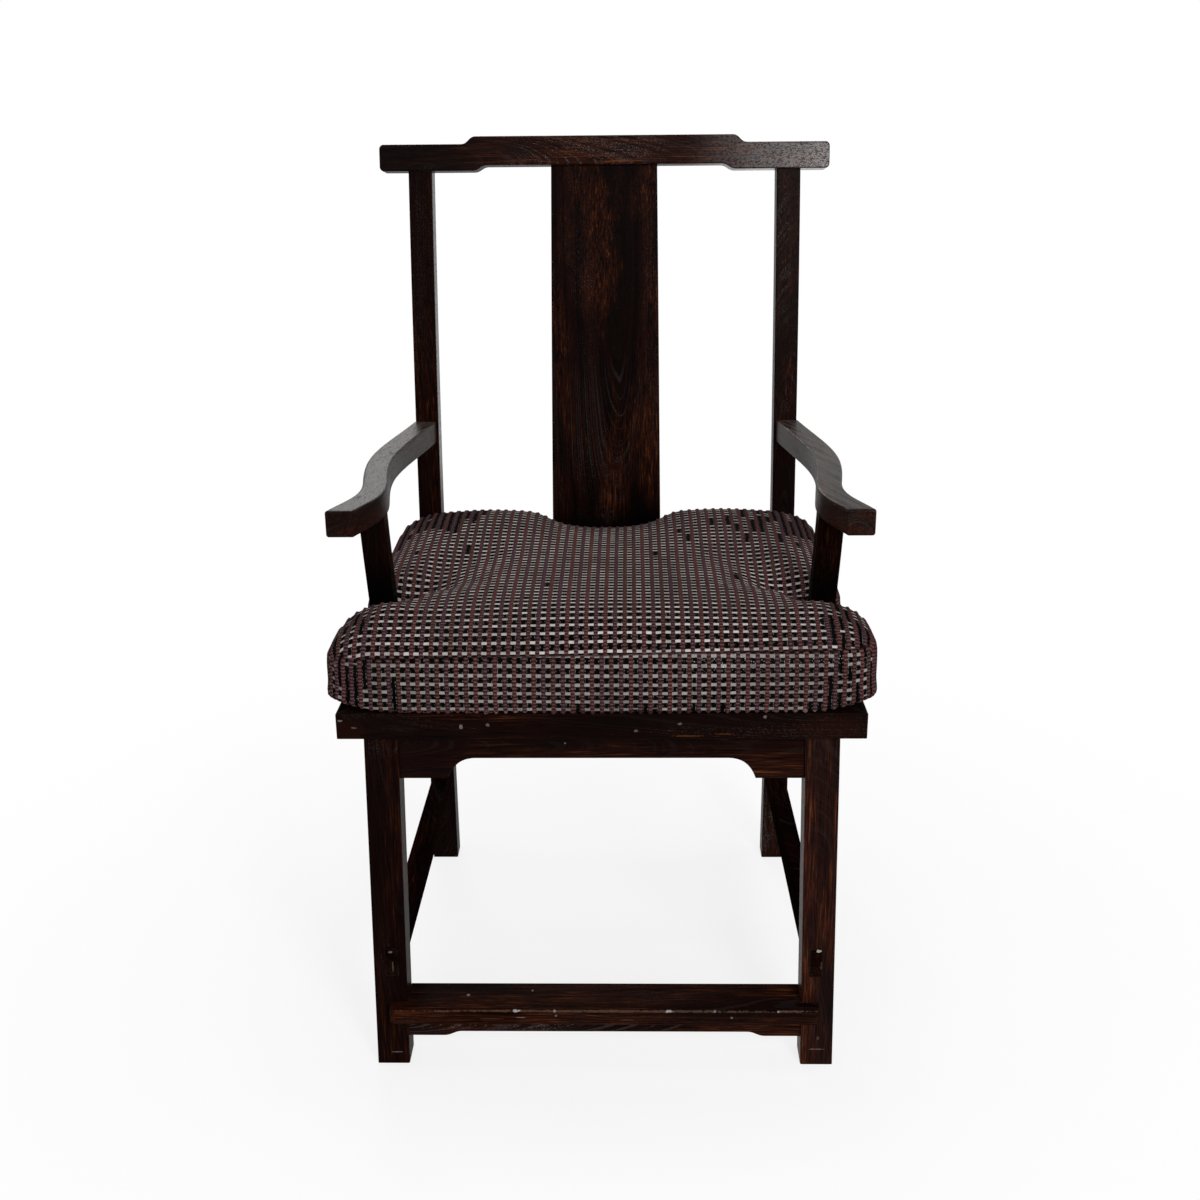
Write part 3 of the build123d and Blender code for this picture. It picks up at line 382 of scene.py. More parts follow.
# small marks: centre and half sizes in millimetres, how strong, which colour
marks = {
    "seat_front_rail": [
        (-160.9, -286.7, 469, 2.2, 4, 3, 0.32, "bare"), (-129.8, -286.7, 471.5, 2.8, 4, 2.2, 0.22, "bare"),
        (-300, -286.7, 476.7, 3, 4, 1.4, 0.35, "bare"), (-284.4, -286.7, 467.8, 3.6, 4, 1.2, 0.28, "bare"),
        (40.1, -286.7, 463.7, 2.4, 4, 1.8, 0.2, "bare"), (90.5, -286.7, 472.5, 2.8, 4, 1.6, 0.22, "bare"),
        (187.4, -286.7, 481.1, 2.2, 4, 2, 0.28, "bare"), (99.8, -286.7, 457.3, 19, 4, 1.1, 0.6, "glow"),
        (141.1, -286.7, 459.8, 12, 4, 0.9, 0.5, "glow"), (265, -286.7, 466, 45, 4, 16, 0.35, "red"),
        (-290, -286.7, 465, 20, 4, 14, 0.35, "red")],
    "footrest": [
        # the long line along the front arris, brighter at the right end, is wear with a painted highlight
        (0, -294.8, 89.6, 262, 1.8, 1.6, 0.50, "worn"), (-107.8, -295, 90, 5.2, 2.4, 1.8, 0.95, "bare"),
        (-60.2, -295, 90, 1.6, 2.4, 1.8, 0.45, "bare"), (9.8, -295, 90, 2.2, 2.4, 1.8, 0.3, "worn"),
        (80.2, -295, 90, 5, 2.4, 1.8, 0.9, "bare"), (136.1, -295, 90, 1.6, 2.4, 1.8, 0.45, "bare"),
        (213.3, -295, 90, 2, 2.4, 1.8, 0.7, "bare"), (-169.3, -263.5, 91, 2.2, 2.6, 2.5, 0.55, "bare"),
        (-89.8, -253.4, 91, 1.4, 2.6, 2.5, 0.35, "bare"), (156.8, -295.7, 80.9, 1.8, 3, 1.6, 0.3, "bare"),
        (-58.6, -295.7, 83.5, 1.5, 3, 1.4, 0.28, "bare"), (-138.9, -295.7, 78.8, 16, 3, 0.6, 0.4, "worn"),
        (-101.7, -295.7, 80.8, 6, 3, 0.6, 0.35, "bare"), (27.3, -295.7, 77.6, 11, 3, 0.6, 0.4, "worn"),
        (230, -295, 90, 22, 2, 1.4, 0.55, "worn")],
    # the tall thin mark on each side stretcher is the tenon's lit edge: a painted highlight
    "left_stretcher": [
        (-258.5, -279, 142.5, 1.1, 6, 8, 0.6, "worn"), (-261, -279, 162.9, 2.8, 6, 1.5, 0.3, "bare")],
    "right_stretcher": [
        (261.9, -279, 165.4, 3.6, 6, 2.2, 0.85, "bare"), (265.7, -279, 145, 0.8, 6, 6, 0.45, "worn")],
    "left_front_leg": [
        (-258.9, -277.7, 16.7, 8, 6, 0.7, 0.35, "bare")],
    "right_front_leg": [
        (263.8, -277.7, 22.5, 10, 6, 0.7, 0.3, "bare"), (265.8, -277.7, 38.7, 1.6, 6, 3.2, 0.4, "worn")],
}
# for one node or several alike: the way the grain runs, tone, orange glow, ring lines, grey haze that is
# partly painted sheen, wear
timber = {
    "crest_rail": ("x", 1.35, 0.95, 0.30, 0.10, 0.8),
    "back_splat": ("z", 1.35, 0.56, 0.9, 0.60, 0.2),
    "left_rear_post": ("z", 0.80, 0.40, 0.1, 0.1, 0.4),
    # the right-hand rear post, front leg and arm get more tone and grey haze than their left-hand twins:
    # painted light from the right
    "right_rear_post": ("z", 1.1, 0.45, 0.2, 0.45, 0.5),
    "left_front_leg": ("z", 1.0, 0.50, 0.12, 0.2, 0.6),
    "right_front_leg": ("z", 2.0, 0.66, 0.15, 0.4, 0.8),
    "left_arm": ("y", 1.0, 0.60, 0.5, 0.15, 0.9),
    "right_arm": ("y", 1.3, 0.55, 0.6, 0.35, 1.1),
    "left_arm_post": ("z", 0.75, 0.62, 0.2, 0.0, 0.1),
    "right_arm_post": ("z", 0.60, 0.40, 0.2, 0.2, 0.2),
    "seat_front_rail": ("x", 0.8, 0.34, 0.2, 0.3, 0.6),
    "seat_rear_rail": ("x", 0.9, 0.40, 0.5, 0.3, 0.6),
    "seat_left_rail seat_right_rail": ("y", 0.9, 0.40, 0.5, 0.3, 0.6),
    "seat_board_left": ("y", 1.8, 0.50, 0.8, 0.5, 0.4),
    "seat_board_middle": ("y", 2.0, 0.50, 0.8, 0.5, 0.4),
    "seat_board_right": ("y", 1.8, 0.50, 0.8, 0.5, 0.4),
    "seat_batten_front seat_batten_rear": ("x", 1.8, 0.50, 0.8, 0.5, 0.4),
    "front_apron": ("x", 1.2, 0.62, 0.15, 0.2, 0.5),
    "rear_apron": ("x", 1.0, 0.50, 0.6, 0.3, 0.5),
    "left_apron right_apron": ("y", 0.9, 0.50, 0.6, 0.3, 0.5),
    "left_stretcher right_stretcher": ("y", 0.8, 0.40, 0.5, 0.2, 0.6),
    "rear_stretcher": ("x", 0.9, 0.40, 0.5, 0.3, 0.6),
    "footrest": ("x", 1.30, 0.90, 0.3, 0.10, 1.8),
    "footrest_apron": ("x", 2.0, 0.55, 0.8, 0.6, 0.7),
    "crest_pegs arm_pegs seat_frame_pegs": ("x", 0.9, 0.40, 0.4, 0.3, 0.5),
}


def times(colour, factor):
    return tuple(c * factor for c in colour)


def woodGrain(look, name, number, grain, p):
    # one piece's pattern, cut from its own place in the log
    vector, x, y, z = look.place()
    low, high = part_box(name)
    middle = (low + high) / 2
    here, across, deep = {
        "x": (x, z - middle.z, y - middle.y), "y": (y, x - middle.x, z - middle.z),
        "z": (z, x - middle.x, y - middle.y)}[grain]
    along = here + number * 0.731

    def streaks(fineness, length, detail, rough=0.5, shift=0.0, stray=0.0):
        # noise drawn out along the grain
        side = across * fineness + fine * stray if stray else across * fineness
        far = along * length + shift if shift else along * length
        return look.noise(look.vector(side, deep * fineness, far), 1.0, detail, rough)

    slow = streaks(6.0, 1.8, 2.0) - 0.5
    fine = streaks(70.0, 6.0, 2.0) - 0.5
    # growth rings round a heart that lies behind the face and leans along the piece
    lean = leans.get(name, 0.09 * (1 if number % 2 else -1))
    sideways = across - 0.02 * math.sin(number * 2.1) + slow * 0.05
    depth = deep + 0.045 + 0.012 * math.cos(number * 1.3) + slow * 0.05
    depth = depth + (here - getattr(middle, grain)) * lean
    radius = (sideways * sideways + depth * depth) ** 0.5 + fine * 0.0022
    rings = look.line(radius, p["ringsPerMetre"], 1.0)
    fibre = streaks(950.0, 24.0, 2.0, 0.65, stray=6.0)
    threads = streaks(420.0, 11.0, 3.0, 0.7, stray=5.0)
    return SimpleNamespace(
        streaks=streaks, fine=fine, rings=rings, fromRing=abs(rings - 0.5), fibre=fibre, threads=threads,
        band=look.line(radius, p["ringsPerMetre"] * 0.22, 1.0), hairs=fibre * 0.55 + threads * 0.45,
        cloudy=streaks(13.0, 3.5, 3.0, 0.6), other=streaks(20.0, 4.0, 3.0, 0.6, shift=7.0),
        pores=look.between(streaks(1300.0, 90.0, 1.0), 0.60, 0.74))


def stained(look, g, name, tone, glow, lines, hazy, p):
    # dark lacquer in the grain, orange where it is thin, then grey haze that is partly painted sheen, and
    # painted shade toward one end of some pieces
    vector, x, y, z = look.place()
    black = times(p["black"], tone)
    colour = look.blend(look.between(g.cloudy, 0.35, 0.70) * look.between(g.threads, 0.30, 0.60),
                        times(p["ground"], tone), times(p["red"], tone * 0.55))
    colour = look.blend(look.between(g.band, 0.58, 0.40) * 0.75 * min(1.0, lines), colour, black)
    patch = look.between(g.other + (glow - 0.5) * 0.35, 0.44, 0.68)
    for start, full, strength, hue in ((0.40, 0.56, 0.85, "red"), (0.53, 0.66, 0.75, "glow")):
        lit = patch * look.between(g.hairs, start, full) * strength
        colour = look.blend(lit, colour, times(p[hue], tone))
    colour = look.blend(look.between(g.hairs, 0.47, 0.36) * 0.75, colour, black)
    drawn = look.between(g.fromRing, 0.030, 0.005) * look.between(g.other, 0.66, 0.40) * 0.40 * lines
    # on the splat the grey ring lines show only across its middle: painted sheen
    if name in sheenLinesWithin:
        a, b, c, d = sheenLinesWithin[name]
        drawn = drawn * look.between(z, a, b) * look.between(z, d, c)
    colour = look.blend(drawn, colour, times(p["haze"], tone))
    # painted shade: the crest rail's left end, the foot of the splat and the arm posts just above the
    # cushion
    if name in paintedShade:
        axis, begin, full, most = paintedShade[name]
        colour = look.blend(look.between({"x": x, "z": z}[axis], begin, full, 0.0, most), colour, p["black"])
    # grey haze streaks, partly painted sheen
    hazeAndSheenMask = look.between(g.streaks(9.0, 7.0, 4.0, 0.7, shift=3.0), 0.56, 0.78) * hazy
    colour = look.blend(hazeAndSheenMask * look.between(g.fibre, 0.38, 0.62) * 0.45, colour, p["haze"])
    colour = look.blend(g.pores * 0.6, colour, p["black"])
    # pale dust and painted sheen in the open grain, along the rings
    dustAndSheen = look.between(g.streaks(1500.0, 620.0, 1.0), 0.58, 0.68) * look.between(g.fromRing, 0.10, 0.03)
    dustAndSheen = dustAndSheen * look.between(g.cloudy, 0.47, 0.60) * dustAndSheenSpecks.get(name, 0.12) * 0.7
    return look.blend(dustAndSheen, colour, p["bare"]), hazeAndSheenMask


def filmAndSheenPainted(look, g, colour, slant, faceX, faceZ, p):
    # sawn, half bare tops of the arms, and a thinner film on their inner faces: a grey that is painted sheen
    # on the faces that look up and inward
    vector, x, y, z = look.place()
    sawn = look.noise(look.vector((x + y * slant) * 420.0, z * 60.0, y * 9.0), 1.0, 3.0, 0.7)
    wide = look.noise(look.vector((x + y * slant) * 110.0, z * 20.0, y * 6.0), 1.0, 2.0)
    inner = look.between(faceX * (-1.0 if slant > 0 else 1.0), 0.4, 0.9) * look.between(y, -0.13, 0.02)
    bareAndSheen = look.between(faceZ, 0.5, 0.9) * look.between(sawn + (wide - 0.5) * 0.6, 0.36, 0.56)
    bareAndSheen = bareAndSheen + inner * look.between(g.threads, 0.25, 0.60) * 0.7
    return look.blend(bareAndSheen * look.between(y, -0.244, -0.236) * 0.62, colour, p["film"])


def marked(look, colour, places, p):
    vector, x, y, z = look.place()
    ragged = (look.noise(vector, 300.0, 3.0, 0.7) - 0.45) * 3.6
    for *centre, wx, wy, wz, strength, hue in places:
        offs = [(q - m / 1000) * (1000 / w) for q, m, w in zip((x, y, z), centre, (wx, wy, wz))]
        off = offs[0] * offs[0] + offs[1] * offs[1] + offs[2] * offs[2]
        colour = look.blend(look.between(off + ragged, 1.15, 0.75) * strength, colour, p[hue])
    return colour


def elmLook(name, number, grain, tone, glow, lines, hazy, wear, p):
    look = Look(name + "_elm")
    vector, x, y, z = look.place()
    g = woodGrain(look, name, number, grain, p)
    colour, hazeAndSheenMask = stained(look, g, name, tone, glow, lines, hazy, p)
    # arrises show where a rounded normal leans from the true one
    rounded = look.node("ShaderNodeBevel", {"samples": 6}, {"Radius": p["edge"]}, out="Normal")
    true = look.node("ShaderNodeNewGeometry", out="Normal")
    facing = look.node("ShaderNodeVectorMath", {"operation": "DOT_PRODUCT"}, {
        0: rounded, 1: true}, out="Value")
    faceX = look.node("ShaderNodeSeparateXYZ", None, {"Vector": true}, out="X")
    faceZ = look.other("Z")
    patchy = look.noise(vector, 42.0, 4.0, 0.7)
    edge = look.between(facing, 0.99, 0.84) * look.between(patchy, 0.36, 0.66) * wear
    edge = edge.sum("MINIMUM", edge, 1.0)
    if name in film:
        colour = filmAndSheenPainted(look, g, colour, film[name], faceX, faceZ, p)
    colour = look.blend(edge * 0.55, colour, times(p["worn"], 0.6 + 0.4 * tone))
    colour = marked(look, colour, marks.get(name, []), p)
    # sparse knocks where the lacquer is off
    cells = look.node("ShaderNodeTexVoronoi", None, {"Vector": vector, "Scale": 24.0}, out="Distance")
    pick = look.node("ShaderNodeSeparateColor", None, {"Color": look.other("Color")}, out=0)
    knock = look.between(cells + g.fine * 0.06, 0.050, 0.034) * (pick > 1.0 - 0.07 * wear)
    colour = look.blend(knock * 0.65, colour, times(p["bare"], 0.45))
    rough = p["roughness"] + 0.18 * (g.cloudy - 0.5) + 0.16 * g.pores + 0.10 * edge
    rough = rough + 0.14 * (g.fibre - 0.5) + 0.08 * hazeAndSheenMask
    height = g.hairs * 0.8 + g.rings * 0.25 - g.pores * 0.9 - knock * 1.5
    normal = look.bump(height, 0.45, 0.0006, rounded)
    normal = look.bump(look.noise(vector, 50.0, 2.0), 0.12, 0.002, normal)
    sockets = {"baseColor": colour, "roughness": rough, "normal": normal,
               "specularLevel": glossy.get(name, plainGloss)}
    if name in polish:
        axis, begin, full, most, side = polish[name]
        waxed = look.between({"x": x, "z": z}[axis], begin, full, 0.0, most)
        waxed = waxed * look.between(g.streaks(560.0, 280.0, 2.0, 0.7), 0.38, 0.56, 0.22, 1.0)
        sockets["coatWeight"] = waxed * look.between(faceX * side, 0.6, 0.9) if side else waxed
        sockets["coatRoughness"] = 0.20
    return look.finish(**sockets)


pieces = [(name, facts) for names, facts in timber.items() for name in names.split()]
for number, (nodeName, facts) in enumerate(pieces):
    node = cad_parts[nodeName]
    node.data.materials.clear()
    node.data.materials.append(elmLook(nodeName, number, *facts, elm))
print("elm on", len(pieces), "nodes")


cushion = {
    # half of the plan, from the middle of the front round to the middle of the rear: x, y, corner radius
    "plan": [(0.0, -0.2960, 0.0), (0.3200, -0.2900, 0.044), (0.3180, -0.1745, 0.028),
             (0.2400, -0.1735, 0.012), (0.2400, -0.1225, 0.012), (0.2980, -0.1190, 0.030),
             (0.2930, 0.2170, 0.055), (0.0, 0.2170, 0.0)],
    # the same without the hollows for the arm posts
    "wide": [(0.0, -0.2960, 0.0), (0.3200, -0.2900, 0.044), (0.2930, 0.2170, 0.055), (0.0, 0.2170, 0.0)],
    "bottom": 0.4868,
    "seam": 0.5572,           # height of the seam at the middle of the front
    "seamSlope": 0.018,       # it rises to the right
    "crown": 0.5865,
    "roll": 0.078,            # how far the top takes to turn down to the seam
    "notchRoll": 0.030,       # the same round the arm posts
    "fullness": 1.5,          # 2 turns down as a quarter circle, less is flatter
    "voxel": 0.0057,
    "pressure": 0.6,
    "frames": 20,
    "cap": 0.005,             # how far the pressure may move a point
    "splatHalf": 0.080,       # the hollow where the top meets the splat: half width, depth
    "splatDent": 0.043,
    # where that hollow counts as the top, not as band: half width, front, rear, from what height
    "hollow": (0.11, 0.05, 0.2130, 0.525),
    "post": (0.2442, -0.1714, -0.1250),      # what stays clear at the arm posts: inner side, front, back
    "reach": (0.3235, -0.3035, 0.2192),      # how far the cover may come: sides, front, rear
    "fill": 0.75,
}
# swells and hollows of the top: centre x (mirrored), centre y, half width x, half width y, height
swells = [
    (0.165, 0.120, 0.095, 0.085, 0.010), (0.262, -0.205, 0.050, 0.045, 0.006),
    (0.0, -0.180, 0.200, 0.080, 0.003), (0.0, 0.130, 0.070, 0.110, -0.006),
    (0.236, -0.112, 0.044, 0.026, -0.022), (0.205, -0.075, 0.040, 0.045, -0.012),
    (0.165, -0.030, 0.045, 0.050, -0.006)]
ribs = {
    "spacing": 0.0110,
    "radius": 0.0032,
    "sunk": 0.0014,           # how deep a rib's middle lies under the cover
    "step": 0.0042,
    "sides": 6,
    "bandShift": 0.0035,      # where the band's first rib stands, from the middle of the rear
}
fabric = {
    "row": 0.0104,            # from one light patch to the next along a rib
    "bead": 0.0042,           # from one bead of a rib to the next
    "thread": 0.0013,         # from one thread to the next within a patch
    "rose": (0.126, 0.041, 0.038),
    "mauve": (0.090, 0.038, 0.047),
    "brown": (0.088, 0.038, 0.026),
    "pale": (0.78, 0.70, 0.665),
    # the band's pale is a dimmer copy of the top's: painted shade on the band
    "shadedPale": (0.46, 0.415, 0.39),
    "black": (0.0014, 0.0012, 0.0014),
    "lining": (0.012, 0.010, 0.010),
    "between": (0.010, 0.005, 0.006),    # painted shade between the beads
    "deep": (0.030, 0.014, 0.015),       # in the pile
    "ribSoilAndRearShade": (0.030, 0.017, 0.017),
    "shade": (0.0040, 0.0034, 0.0034),
    "soil": (0.008, 0.006, 0.006),
    "seam": (0.010, 0.006, 0.006),
    "glint": (0.95, 0.95, 0.95),
}


def roundedLoop(corners, steps=9):
    # a closed line of points with its corners rounded
    found = []
    for i, (x, y, radius) in enumerate(corners):
        here = Vector((x, y))
        before, after = Vector(corners[i - 1][:2]), Vector(corners[(i + 1) % len(corners)][:2])
        if radius == 0:
            found.append(here)
            continue
        a, b = (before - here).normalized(), (after - here).normalized()
        turn = math.acos(max(-1, min(1, a.dot(b))))
        reach = radius / math.tan(turn / 2)
        centre = here + (a + b).normalized() * radius / math.sin(turn / 2)
        first, last = here + a * reach - centre, here + b * reach - centre
        sweep = math.atan2(first.x * last.y - first.y * last.x, first.dot(last))
        for k in range(steps + 1):
            c, s = math.cos(sweep * k / steps), math.sin(sweep * k / steps)
            found.append(centre + Vector((first.x * c - first.y * s, first.x * s + first.y * c)))
    return found


def evenly(line, step, closed=False):
    # the line with points about one step apart
    line = np.array(line, float)
    if closed:
        line = np.vstack([line, line[:1]])
    lengths = np.r_[0, np.cumsum(np.linalg.norm(np.diff(line, axis=0), axis=1))]
    count = max(2, int(round(lengths[-1] / step)) + 1)
    wanted = np.linspace(0, lengths[-1], count)
    found = np.stack([np.interp(wanted, lengths, line[:, k]) for k in range(line.shape[1])], axis=1)
    return found[:-1] if closed else found


def traceOutline(half):
    # the plan as points, outward normals and lengths that start at the middle of the rear
    loop = roundedLoop(half + [(-x, y, r) for x, y, r in reversed(half[1:-1])])
    points = evenly(loop, 0.004, closed=True)
    rear = int(np.argmin(np.abs(points[:, 0]) - points[:, 1] * 10))
    points = np.roll(points, -rear, axis=0)
    ahead = np.roll(points, -1, axis=0) - np.roll(points, 1, axis=0)
    ahead /= np.linalg.norm(ahead, axis=1, keepdims=True)
    normals = np.stack([ahead[:, 1], -ahead[:, 0]], axis=1)
    steps = np.linalg.norm(np.roll(points, -1, axis=0) - points, axis=1)
    return {"points": points, "normals": normals, "steps": steps,
            "lengths": np.r_[0, np.cumsum(steps)[:-1]], "whole": steps.sum()}


def nearOutline(line, where):
    # how deep inside the plan each point is, the way out and the length along the edge
    a, b = line["points"], np.roll(line["points"], -1, axis=0)
    na, nb = line["normals"], np.roll(line["normals"], -1, axis=0)
    ab = b - a
    depth, normal, length = np.zeros(len(where)), np.zeros((len(where), 2)), np.zeros(len(where))
    for first in range(0, len(where), 4000):
        q = where[first:first + 4000]
        ap = q[:, None, :] - a[None]
        t = np.clip((ap * ab[None]).sum(-1) / (ab * ab).sum(-1)[None], 0, 1)
        gap = ap - t[..., None] * ab[None]
        best = (gap ** 2).sum(-1).argmin(1)
        rows = np.arange(len(q))
        share, off = t[rows, best], gap[rows, best]
        n = na[best] * (1 - share)[:, None] + nb[best] * share[:, None]
        n /= np.linalg.norm(n, axis=1, keepdims=True)
        depth[first:first + len(q)] = -np.sign((off * n).sum(1)) * np.linalg.norm(off, axis=1)
        normal[first:first + len(q)] = n
        length[first:first + len(q)] = line["lengths"][best] + share * line["steps"][best]
    return depth, normal, length


def seamHeight(x, p):
    return p["seam"] + p["seamSlope"] * x


def rollShape(t, p):
    return (1 - (1 - np.clip(t, 0, 1)) ** p["fullness"]) ** (1 / p["fullness"])


def topHeight(x, y, p):
    height = np.full(len(x), p["crown"])
    for cx, cy, wx, wy, h in swells:
        height += h * np.exp(-((np.abs(x) - cx) / wx) ** 2 - ((y - cy) / wy) ** 2)
    splat = np.exp(-(np.abs(x) / p["splatHalf"]) ** 6 - ((y - 0.225) / 0.078) ** 2)
    return height - p["splatDent"] * splat


def cushionStart(p, line, wide):
    bm = bmesh.new()
    ring = [bm.verts.new((x, y, p["bottom"])) for x, y in line["points"][::2]]
    face = bm.faces.new(ring)
    top = bmesh.ops.extrude_face_region(bm, geom=[face])
    lifted = [v for v in top["geom"] if isinstance(v, bmesh.types.BMVert)]
    bmesh.ops.translate(bm, vec=(0, 0, p["seam"] - p["bottom"]), verts=lifted)
    bmesh.ops.triangulate(bm, faces=bm.faces[:])
    bmesh.ops.recalc_face_normals(bm, faces=bm.faces[:])
    made = objectFromBmesh("cushion", bm)
    remesh = made.modifiers.new("voxels", "REMESH")
    remesh.mode, remesh.voxel_size = "VOXEL", p["voxel"]
    applied(made)
    # the top rolls up from the seam, and the band bulges between the seam and the seat
    v = pointsOf(made.data)
    depth, out, length = nearOutline(line, v[:, :2])
    inside = nearOutline(wide, v[:, :2])[0]
    share = np.clip((v[:, 2] - p["bottom"]) / (p["seam"] - p["bottom"]), 0, 1)
    isTop = share > 0.97
    seam = seamHeight(v[:, 0], p)
    rolled = np.minimum(rollShape(inside / p["roll"], p), rollShape(depth / p["notchRoll"], p))
    height = np.where(isTop, seam + (topHeight(v[:, 0], v[:, 1], p) - seam) * rolled,
                      p["bottom"] + share * (seam - p["bottom"]))
    tuck = 0.0035 * np.clip(1 - share / 0.30, 0, 1) - 0.0015 * np.clip((share - 0.6) / 0.4, 0, 1) ** 2
    near = np.clip(1 - depth / 0.014, 0, 1)
    v[:, :2] += out * (tuck * near - 0.002)[:, None]
    corner = np.exp(-((np.abs(v[:, 0]) - 0.32) / 0.045) ** 2 - ((v[:, 1] + 0.30) / 0.05) ** 2)
    v[:, 2] = height + 0.014 * corner * (1 - share)
    setPoints(made.data, v)
    smooth = made.modifiers.new("soften", "SMOOTH")
    smooth.factor, smooth.iterations = 0.5, 5
    return applied(made)


def inflate(piece, p):
    # air pressure swells the cover, while its underside stays where it lies
    start = pointsOf(piece.data)
    held = piece.vertex_groups.new(name="held")
    held.add([i for i, v in enumerate(start) if v[2] < p["bottom"] + 0.002], 1.0, "REPLACE")
    cloth = piece.modifiers.new("cloth", "CLOTH")
    s = cloth.settings
    s.quality, s.mass = 5, 0.3
    s.use_pressure, s.uniform_pressure_force = True, p["pressure"]
    s.vertex_group_mass = "held"
    s.effector_weights.gravity = 0.0
    s.bending_stiffness = 2.0
    cloth.point_cache.frame_start, cloth.point_cache.frame_end = 1, p["frames"]
    for number in range(1, p["frames"] + 1):
        scene.frame_set(number)
    applied(piece)
    scene.frame_set(1)
    moved = pointsOf(piece.data) - start
    length = np.linalg.norm(moved, axis=1, keepdims=True)
    moved *= np.minimum(1.0, p["cap"] / np.maximum(length, 1e-9))
    setPoints(piece.data, start + moved)
    piece.vertex_groups.clear()


def keepClear(v, p):
    # off the seat, the arm posts, the rear posts and the splat
    x, y, z = v[:, 0], v[:, 1], np.maximum(v[:, 2], p["bottom"])
    inner, front, back = p["post"]
    side, first, last = p["reach"]
    inside = (np.abs(x) > inner) & (y > front) & (y < back)
    toX, toFront, toBack = np.abs(x) - inner, y - front, back - y
    pushX = inside & (toX <= toFront) & (toX <= toBack)
    pushFront = inside & ~pushX & (toFront <= toBack)
    x = np.where(pushX, np.sign(x) * inner, x)
    y = np.where(pushFront, front, np.where(inside & ~pushX & ~pushFront, back, y))
    return np.stack([np.clip(x, -side, side), np.clip(y, first, last), z], axis=1)


def flatMaps(piece, p, line, wide):
    # the panels laid flat, in metres: the top with the length of its roll added, the band along its edge
    v = pointsOf(piece.data)
    length = nearOutline(line, v[:, :2])[2]
    depth, out = nearOutline(wide, v[:, :2])[:2]
    steps = np.linspace(0, 1, 60)
    shape = rollShape(steps, p) * (p["crown"] - p["seam"])
    arcs = np.r_[0, np.cumsum(np.hypot(np.diff(steps * p["roll"]), np.diff(shape)))]
    extra = arcs[-1] - np.interp(np.clip(depth / p["roll"], 0, 1), steps, arcs)
    extra -= p["roll"] - np.clip(depth, 0, p["roll"])
    extra += np.clip(seamHeight(v[:, 0], p) - v[:, 2], 0, 0.02)
    top = v[:, :2] + out * extra[:, None]
    band = np.stack([length, v[:, 2]], axis=1)
    mesh = piece.data
    loops = np.zeros(len(mesh.loops), np.int32)
    mesh.loops.foreach_get("vertex_index", loops)
    totals = np.zeros(len(mesh.polygons), np.int32)
    mesh.polygons.foreach_get("loop_total", totals)
    bandLoops = band[loops]
    # the band's length starts again at the rear, and a face there counts on instead
    owner = np.repeat(np.arange(len(totals)), totals)
    most = np.full(len(totals), -1.0)
    np.maximum.at(most, owner, bandLoops[:, 0])
    bandLoops[:, 0] += np.where(most[owner] - bandLoops[:, 0] > line["whole"] / 2, line["whole"], 0)
    for name, values in (("top", top[loops]), ("band", bandLoops)):
        layer = mesh.uv_layers.new(name=name)
        layer.data.foreach_set("uv", values.astype(np.float32).ravel())
    return top


def isoLines(mesh, points, field, usable, levels):
    # lines along which the field has one value, walked from triangle to triangle
    mesh.calc_loop_triangles()
    corners = np.zeros(len(mesh.loop_triangles) * 3, np.int32)
    mesh.loop_triangles.foreach_get("vertices", corners)
    corners = corners.reshape(-1, 3)
    corners = corners[usable[corners].all(axis=1)]
    low, high = field[corners].min(1), field[corners].max(1)
    found = []
    for level in levels:
        links = {}
        for a, b, c in corners[(low < level) & (high > level)]:
            ends = []
            for i, j in ((a, b), (b, c), (c, a)):
                if (field[i] < level) != (field[j] < level):
                    ends.append((min(i, j), max(i, j)))
            if len(ends) == 2:
                links.setdefault(ends[0], []).append(ends[1])
                links.setdefault(ends[1], []).append(ends[0])
        left = set(links)
        while left:
            ends = [e for e in left if len(links[e]) == 1]
            here = min(ends) if ends else min(left)
            chain = []
            while here is not None:
                left.discard(here)
                i, j = here
                t = (level - field[i]) / (field[j] - field[i])
                chain.append(points[i] * (1 - t) + points[j] * t)
                here = next((e for e in links[here] if e in left), None)
            if len(chain) > 6:
                found.append((level, np.array(chain)))
    return found


def aboveSeam(v, p):
    # how far above the seam, where the hollow under the splat still counts as the top
    half, front, rear, height = p["hollow"]
    hollow = (np.abs(v[:, 0]) < half) & (v[:, 1] > front) & (v[:, 1] < rear) & (v[:, 2] > height)
    return v[:, 2] - seamHeight(v[:, 0], p) + 0.040 * hollow


def cutAtSeam(chain, p):
    # the part above the seam, with its ends exactly on it
    above = aboveSeam(chain, p)
    kept = np.flatnonzero(above > 0)
    if len(kept) < 3:
        return chain[:0]
    first, last = kept[0], kept[-1]
    made = list(chain[first:last + 1])
    if first > 0:
        t = above[first] / (above[first] - above[first - 1])
        made.insert(0, chain[first] * (1 - t) + chain[first - 1] * t)
    if last < len(chain) - 1:
        t = above[last] / (above[last] - above[last + 1])
        made.append(chain[last] * (1 - t) + chain[last + 1] * t)
    return np.array(made)


